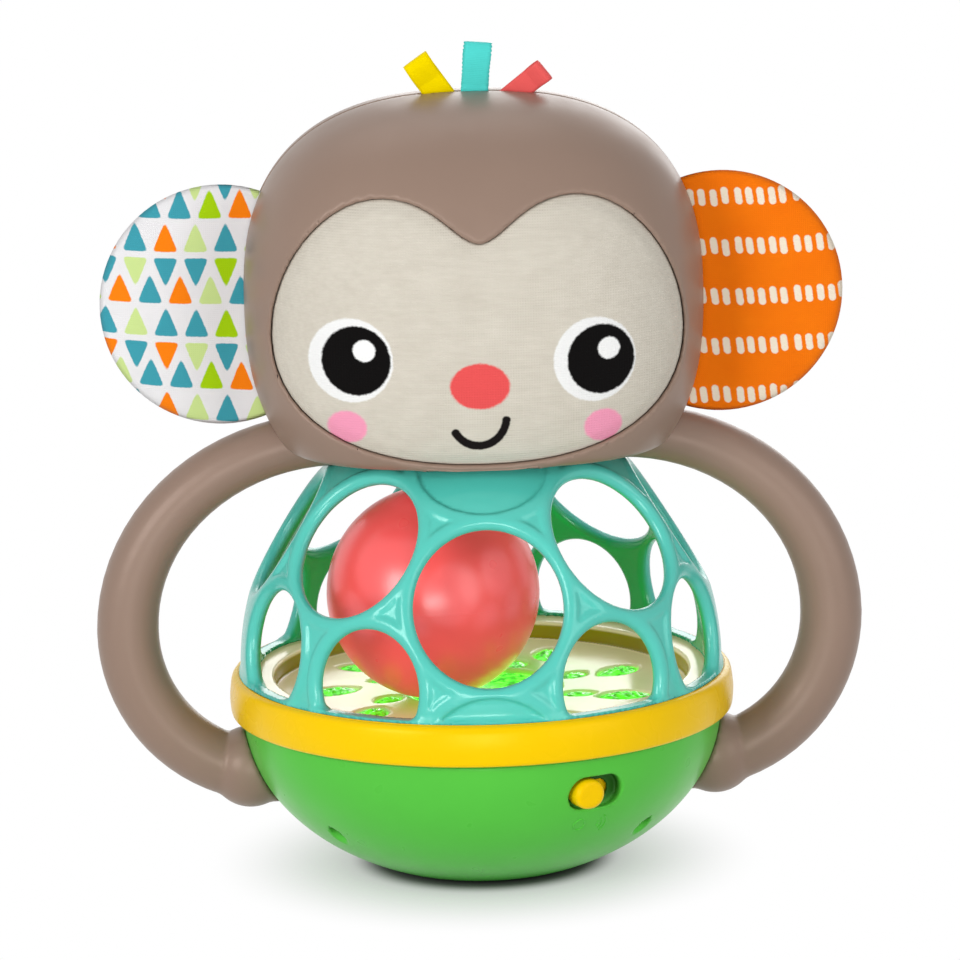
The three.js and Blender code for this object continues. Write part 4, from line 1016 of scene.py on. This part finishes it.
def heart_outline():
    """The face's heart: a notch at the top, a lobe, a side and the chin, and the same mirrored."""
    notch, lobe, side, chin = (0, 142.3), (20, 151.6), (43.9, 121), (0, 94.2)
    right = np.concatenate([
        bezier(notch, (5, 142.8), (lobe[0] - 11, lobe[1]), lobe),
        bezier(lobe, (lobe[0] + 13, lobe[1]), (side[0], side[1] + 15), side),
        bezier(side, (side[0], side[1] - 17), (28, chin[1]), chin),
    ])
    left = right[:0:-1] * (-1, 1)
    return np.concatenate([right, [chin], left])


heart = Outline(heart_outline())


def head_form(p, inset=0.0):
    """About the distance to the head's form, drawn in by the inset."""
    x = np.abs(p[:, 0]) / (HEAD_WIDTH - inset)
    z = p[:, 2] - HEAD_CENTRE
    reach = np.where(z > 0, HEAD_RISE, HEAD_FALL) - inset
    power = np.where(z > 0, CROWN_POWER, JAW_POWER)
    ring = (x ** power + (np.abs(z) / reach) ** power) ** (EDGE_POWER / power)
    level = ring + (np.abs(p[:, 1]) / (HEAD_DEPTH - inset)) ** FACE_POWER
    return MEAN_RADIUS * (level ** (1 / MEAN_POWER) - 1)


def crown(x):
    """Height of the top of the head at this place across it."""
    return HEAD_CENTRE + HEAD_RISE * (1 - (abs(x) / HEAD_WIDTH) ** CROWN_POWER) ** (1 / CROWN_POWER)


def ribbon_frame(name):
    """Root, outward and sideways directions, length and width of a ribbon, and its tail in the head."""
    place, lean, length, width = RIBBONS[name]
    turn = math.radians(lean)
    root = np.array([place, 0, crown(place) + RIBBON_RISE + width / 2 * abs(math.sin(turn))])
    out = np.array([math.sin(turn), 0, math.cos(turn)])
    side = np.array([math.cos(turn), 0, -math.sin(turn)])
    tail = (RIBBON_RISE + width * abs(math.sin(turn)) + RIBBON_SUNK) / math.cos(turn)
    return root, out, side, length, width, tail


def head_slots(p):
    """The narrow slots in the parting line that the ears and ribbons come out of."""
    x, y, z = np.abs(p - (0, 0, EAR_HEIGHT)).T
    slots = common(y - EAR_SLOT_THICK / 2, z - EAR_SLOT_TALL / 2, EAR_SLOT_INSIDE - x)
    for name in RIBBONS:
        root, out, side, length, width, tail = ribbon_frame(name)
        q = p - root
        across = np.abs(q @ side) - width / 2 - RIBBON_SLOT_GAP
        slots = np.minimum(slots, common(y - RIBBON_SLOT_THICK / 2, across, -tail - 1 - q @ out))
    return slots


def head_shell(p):
    hollow = np.maximum(head_form(p, HEAD_WALL), HEAD_LOW + HEAD_WALL - p[:, 2])
    shell = np.maximum(head_form(p), -hollow)
    shell = blend_max(shell, HEAD_LOW - p[:, 2], 1.6)
    shell = blend_max(shell, -(arm_field(p) - GAP), 0.5)
    return blend_max(shell, -head_slots(p), 0.3)


def front_shell_field(p):
    face = heart(p[:, 0], p[:, 2])
    form = head_form(p)
    back = common(face - 2.0, form, -head_form(p, POCKET_DEPTH + HEAD_WALL), HEAD_LOW - p[:, 2])
    shell = np.minimum(head_shell(p), back)
    pocket = common(face, -head_form(p, POCKET_DEPTH), p[:, 1])
    shell = blend_max(shell, -pocket, 0.9)
    return blend_max(shell, p[:, 1] + GAP / 2, 0.7)


def rear_shell_field(p):
    shell = head_shell(p)
    form = head_form(p)
    for x, z in HEAD_SCREWS:
        away = np.hypot(p[:, 0] - x, p[:, 2] - z)
        post = common(away - HEAD_SCREW_POST, HEAD_SCREW_SEAT - HEAD_SCREW_CAP - p[:, 1], form)
        sink = np.maximum(away - HEAD_SCREW_SINK, HEAD_SCREW_SEAT - p[:, 1])
        shell = blend_max(np.minimum(shell, post), -sink, 0.7)
    return blend_max(shell, GAP / 2 - p[:, 1], 0.7)


def pad_field(p):
    """Padded face, full in the middle and drawn down to its sewn edge."""
    face = heart(p[:, 0], p[:, 2]) + 0.12
    top = head_form(p) + PAD_SUNK + 0.5 * rise(-3.0, 0.0, face)
    return common(blend_max(face, top, 0.6), -head_form(p, POCKET_DEPTH - GAP), p[:, 1] + 2)


def make_head(looks):
    wide, deep = HEAD_WIDTH + 0.5, HEAD_DEPTH + 0.5
    top = HEAD_CENTRE + HEAD_RISE + 0.5
    for name, field, front, back in (
        ("head_front_shell", front_shell_field, -deep, 0),
        ("head_rear_shell", rear_shell_field, 0, deep),
    ):
        low, high = (-wide, front, HEAD_LOW), (wide, back, top)
        moulded(name, field, low, high, 0.75, looks["brown"], "brown_plastic")
    pad = moulded("face_pad", pad_field, (-46, -deep, 94), (46, -4, 154), 0.6, looks["face"], "face_cloth")


# Ears and ribbons

def ear_points(name, side, rings, sides):
    """A puffed round cushion, flat where it goes into the head and gathered a little at its seam."""
    centre, reach = EARS[name]
    ring, place = np.indices((rings + 1, sides))
    share, turn = ring / rings, 2 * math.pi * place / sides
    x = centre + reach * share * np.cos(turn)
    half = EAR_TAB_THICK / 2 + (EAR_THICK - EAR_TAB_THICK) / 2 * rise(*EAR_ROOT, x)
    gather = 1 + 0.05 * np.sin(17 * turn + 2 * np.sin(3 * turn)) * share ** 4
    y = half * gather * np.sqrt(1 - share ** 6)
    z = EAR_HEIGHT + reach * share * np.sin(turn)
    points = [np.stack([side * x, face * y, z], 2).reshape(-1, 3) for face in (1, -1)]
    faces = grid_faces(rings + 1, sides)
    return np.concatenate(points), np.concatenate([faces, faces + len(points[0])])


def puff(ear):
    """Fills a thin cushion by cloth pressure, ten times as large, with its root in the head held still."""
    scale, steps = 10.0, 20
    flat = np.array([vertex.co for vertex in ear.data.vertices])
    ear.data.transform(Matrix.Scale(scale, 4))
    held = ear.vertex_groups.new(name="held")
    for vertex, x in zip(ear.data.vertices, np.abs(flat[:, 0]) / MM):
        held.add([vertex.index], float(rise(*EAR_HELD, x)), "REPLACE")
    filling = ear.modifiers.new("pressure", "CLOTH")
    filling.settings.vertex_group_mass = "held"
    filling.settings.use_pressure = True
    filling.settings.uniform_pressure_force = 2.0
    filling.settings.effector_weights.gravity = 0.0
    filling.point_cache.frame_end = steps
    scene = bpy.context.scene
    for step in range(1, steps + 1):
        scene.frame_set(step)
    filled = ear.evaluated_get(bpy.context.evaluated_depsgraph_get()).data
    move = np.array([vertex.co for vertex in filled.vertices]) / scale - flat
    move = move * (0.3, 1.0, 0.3)
    reach = np.linalg.norm(move, axis=1, keepdims=True) + 1e-9
    move = move * np.minimum(1, EAR_SWELL * MM / reach)
    ear.modifiers.remove(filling)
    ear.vertex_groups.remove(held)
    scene.frame_set(1)
    ear.data.vertices.foreach_set("co", (flat + move).ravel())
    ear.data.update()


def make_ear(name, side, look, slot):
    points, faces = ear_points(name, side, rings=26, sides=96)
    mesh = new_mesh(f"ear_{name}", points, faces, look)
    ear = tidied(placed(f"ear_{name}_cloth", mesh, slot, f"ear_{name}_pad", f"ear_{name}_tab"))
    cut = bmesh.new()
    cut.from_mesh(ear.data)
    everything = [*cut.verts, *cut.edges, *cut.faces]
    plane = {"plane_co": (side * EAR_HIDDEN * MM, 0, 0), "plane_no": (side, 0, 0)}
    bmesh.ops.bisect_plane(cut, geom=everything, clear_inner=True, **plane)
    bmesh.ops.edgeloop_fill(cut, edges=[edge for edge in cut.edges if edge.is_boundary])
    bmesh.ops.recalc_face_normals(cut, faces=cut.faces)
    cut.to_mesh(ear.data)
    cut.free()
    puff(ear)
    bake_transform(ear)


def ribbon_loop(length, tail):
    """Path of a loop in depth and height: up from the head, round the top fold and back down."""
    turn = np.linspace(-1.2, math.pi + 1.2, 61)
    height = length / 2 * (1 + np.sin(turn))
    belly = RIBBON_BELLY / 2 * 1.46 * np.cos(turn) * (height / length) ** 0.75
    depth = belly + 0.6 * RIBBON_THICK * np.clip(6 * np.cos(turn), -1, 1)
    stem = np.array([-tail, -1.5, -0.8, -0.2])
    flat = np.full(len(stem), 0.6 * RIBBON_THICK)
    return np.concatenate([
        np.column_stack([flat, stem]),
        np.column_stack([depth, height]),
        np.column_stack([-flat, stem[::-1]]),
    ])


def make_ribbon(name, look, picots):
    """A loop of flat ribbon, with small points along its edges if it has picots."""
    root, out, side, length, width, tail = ribbon_frame(name)
    path = ribbon_loop(length, tail)
    ahead = unit(np.gradient(path, axis=0))
    normal = np.column_stack([ahead[:, 1], -ahead[:, 0]])
    run = np.concatenate([[0], np.cumsum(np.linalg.norm(np.diff(path, axis=0), axis=1))])[:, None]
    wide = width / 2 - 0.2 + (0.3 * np.abs(np.sin(math.pi * run / 0.9)) if picots else 0.1)
    sway = 0.15 * np.sin(run * 0.5) * np.maximum(0, path[:, 1:]) / length
    spread = np.linspace(-1, 1, 9)
    across = np.concatenate([spread, spread[::-1]])
    thin = RIBBON_THICK / 2 * np.repeat((1, -1), len(spread)) * (1 - 0.5 * across ** 8)
    depth, height = (path[:, k, None] + normal[:, k, None] * thin for k in (0, 1))
    beside = across * wide + sway
    points = root + height[..., None] * out + beside[..., None] * side + depth[..., None] * (0, 1, 0)
    rows, count = beside.shape
    faces = [*grid_faces(rows, count)]
    for ring in (0, (rows - 1) * count):
        for j in range(len(spread) - 1):
            faces.append((ring + j, ring + j + 1, ring + count - 2 - j, ring + count - 1 - j))
    mesh = new_mesh(f"ribbon_{name}", points.reshape(-1, 3), np.array(faces), look)
    nodes = (f"ribbon_{name}_loop", f"ribbon_{name}_tab")
    ribbon = tidied(placed(f"ribbon_{name}_cloth", mesh, f"{name}_ribbon", *nodes))
    start, end = (tuple((root + out * reach) * MM) for reach in (-0.8, 2.0))
    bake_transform(ribbon)
    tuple(start)
    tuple(end)


# Screws

def screw_field(head_radius, head_height, thread_radius, length):
    """A pan-head screw that points up from its head, with a cross recess and a pointed thread."""
    pitch, groove = 0.9, 0.22
    dome_radius = head_radius * 1.3

    def field(p):
        away, z = from_upright(p, 0, 0), p[:, 2]
        turn = np.arctan2(p[:, 1], p[:, 0]) / (2 * math.pi)
        dome = np.linalg.norm(p - (0, 0, dome_radius), axis=1) - dome_radius - 0.05
        head = blend_max(np.maximum(away - head_radius, z - head_height), np.maximum(dome, -z), 0.3)
        ridge = np.abs(((z / pitch - turn) % 1) - 0.5) * 0.5
        taper = 0.35 + 0.65 * rise(length, length - 2.0, z)
        thread = np.maximum(away - (thread_radius - groove + ridge) * taper, between(z, 0, length))
        u, v = np.abs(p[:, 0]), np.abs(p[:, 1])
        cross = np.maximum(np.minimum(u, v) - head_radius * 0.16, np.maximum(u, v) - head_radius * 0.62)
        return np.maximum(blend_min(head, thread, 0.3), -np.maximum(cross, z - head_height * 0.55))
    return field


def screw_mesh(name, look, step, head_radius, head_height, thread_radius, length):
    field = screw_field(head_radius, head_height, thread_radius, length)
    wide = head_radius + 0.1
    return new_mesh(name, *surface(field, (-wide, -wide, 0), (wide, wide, length), step), look)


def make_screws(look):
    """Each screw stands where its CAD node is, pointing the way that it is driven."""
    large = screw_mesh("body_screw", look, *LARGE_SCREW)
    small = screw_mesh("small_screw", look, *SMALL_SCREW)
    upward = [f"bowl_screw_{k}" for k in (1, 2, 3, 4)] + ["battery_door_screw"]
    upward += [f"neck_screw_{k}" for k in (1, 2, 3)]
    forward = [f"head_screw_{k}" for k in (1, 2, 3, 4)]
    for name in upward + forward:
        low, high = (Vector(corner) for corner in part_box(name))
        middle = (low + high) / 2
        screw = placed(f"{name}_form", large if (high - low).x > 4.0 * MM else small, "steel", name)
        if name in upward:
            screw.matrix_world = Matrix.Translation((middle.x, middle.y, low.z))
        else:
            turn = Matrix.Rotation(math.pi / 2, 4, "X")
            screw.matrix_world = Matrix.Translation((middle.x, high.y, middle.z)) @ turn
        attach(screw, "base")


# Pieces inside, which keep their CAD shape

def finish_inner_pieces(looks):
    slot_looks = {
        "steel": looks["steel"],
        "contact_brass": metal("contact_brass", colour(201, 162, 74), 0.35),
        "board_laminate": plastic("board_laminate", colour(31, 107, 58), 0.4),
        "black_plastic": plastic("black_plastic", colour(29, 29, 31), 0.5),
        "clear_light": plastic("clear_light", colour(243, 246, 255), 0.1, Transmission_Weight=0.6),
        "red_lead": plastic("red_lead", colour(181, 50, 45), 0.45),
        "white_plastic": plastic("white_plastic", colour(238, 236, 230), 0.4),
    }
    for subpart in frame["record"]["subparts"]:
        look = slot_looks.get(subpart["material_slot"])
        if look:
            mesh = frame["nodes"][subpart["node"]].data
            mesh.materials.clear()
            mesh.materials.append(look.material)
    edge = frame["nodes"]["neck_plate"].modifiers.new("soft_edge", "BEVEL")
    edge.width = 0.4 * MM
    edge.segments = 2


# Camera, light and floor

def make_camera():
    """The photograph's view: a long lens from a little above, tilted slightly."""
    azimuth, elevation, distance = math.radians(-2.3), math.radians(11.8), 1.3
    target = Vector((0, 0, 0.088))
    back = Vector((
        math.sin(azimuth) * math.cos(elevation),
        -math.cos(azimuth) * math.cos(elevation),
        math.sin(elevation),
    ))
    data = bpy.data.cameras.new("camera")
    data.sensor_width = 36.0
    data.lens = 225.2
    data.shift_x = 0.0031
    data.shift_y = -0.0164
    camera = linked("camera", data)
    turn = (-back).to_track_quat("-Z", "Y").to_matrix().to_4x4()
    roll = Matrix.Rotation(math.radians(-1.2), 4, "Z")
    camera.matrix_world = Matrix.Translation(target + back * distance) @ turn @ roll
    bpy.context.scene.camera = camera


def make_lamp(name, place, size, power):
    data = bpy.data.lights.new(name, "AREA")
    data.shape = "RECTANGLE"
    data.size, data.size_y = size
    data.energy = power
    aim = Vector((0, 0, 0.09)) - Vector(place)
    turn = aim.to_track_quat("-Z", "Y").to_matrix().to_4x4()
    linked(name, data).matrix_world = Matrix.Translation(place) @ turn


def seen_directly(tree):
    """1 for rays from the camera and for rays that a mirror or glass passes on."""
    kinds = ("Camera", "Glossy", "Transmission")
    rays = [Number(tree, new_node(tree, "LightPath", {}, f"Is {kind} Ray")) for kind in kinds]
    return reduce(Number.most, rays)


def make_world():
    world = bpy.data.worlds.new("studio")
    world.use_nodes = True
    bpy.context.scene.world = world
    tree = world.node_tree
    ground = tree.nodes["Background"]
    ground.inputs["Color"].default_value = (1, 1, 1, 1)
    put(tree, ground.inputs["Strength"], seen_directly(tree) * 0.65 + 0.35)


def make_floor():
    """Pale floor, darkened round the foot by a painted shadow, that keeps the cast shadow and fades to plain
    white further out.
    """
    reach = 3000
    corners = np.array([(-reach, -reach, 0), (reach, -reach, 0), (reach, reach, 0), (-reach, reach, 0)])
    look = Look("floor_paper", Roughness=0.9, Specular_IOR_Level=0.0)
    away = look.x.hypot(look.y)
    # Painted shadow: the floor's colour goes dark grey round the foot.
    look.set(Base_Color=look.mix(away.ramp(17, 36), colour(64, 64, 64), colour(228, 228, 228)))
    fade = (away.ramp(23, 30) * 0.45 + away.ramp(26, 62) * 0.55) * seen_directly(look.tree)
    white = look.node("Emission", {})
    mixed = look.node("MixShader", {0: fade, 1: look.shader.outputs[0], 2: white})
    put(look.tree, look.tree.nodes["Material Output"].inputs["Surface"], mixed)
    linked("floor", new_mesh("floor", corners, np.array([(0, 1, 2, 3)]), look))


def make_stage():
    make_camera()
    make_world()
    make_floor()
    for name, (place, size, power) in LAMPS.items():
        make_lamp(name, place, size, power)
    bpy.context.scene.view_settings.view_transform = "Standard"


def make_object():
    looks = {
        "bowl": bowl_look(),
        "green": plastic("green_door", GREEN, 0.3),
        "yellow": plastic("yellow_ring", YELLOW, 0.28, drift=0.03, pale=0.15),
        "teal": cage_look(),
        "coral": ball_look(),
        "brown": plastic("brown_shell", BROWN, roughness=0.38, drift=0.04, gloss=0.5),
        "tray": tray_look(),
        "lens": lens_look(),
        "face": face_look(),
        "steel": metal("steel", colour(184, 186, 189)),
    }
    finish_inner_pieces(looks)
    make_bowl(looks)
    make_collar(looks["yellow"])
    make_tray(looks)
    make_cage(looks["teal"])
    make_ball(looks["coral"])
    make_arms(looks["brown"])
    make_head(looks)
    make_ear("left", -1, triangle_ear_look(), "ear_white_cloth")
    make_ear("right", 1, dash_ear_look(), "ear_orange_cloth")
    ribbon_shades = {"yellow": (251, 223, 0), "teal": (86, 220, 212), "coral": (240, 99, 97)}
    for name, shade in ribbon_shades.items():
        look = ribbon_look(f"{name}_satin", colour(*shade), RIBBONS[name][1])
        make_ribbon(name, look, picots=name == "teal")
    make_screws(looks["steel"])


make_stage()
make_object()
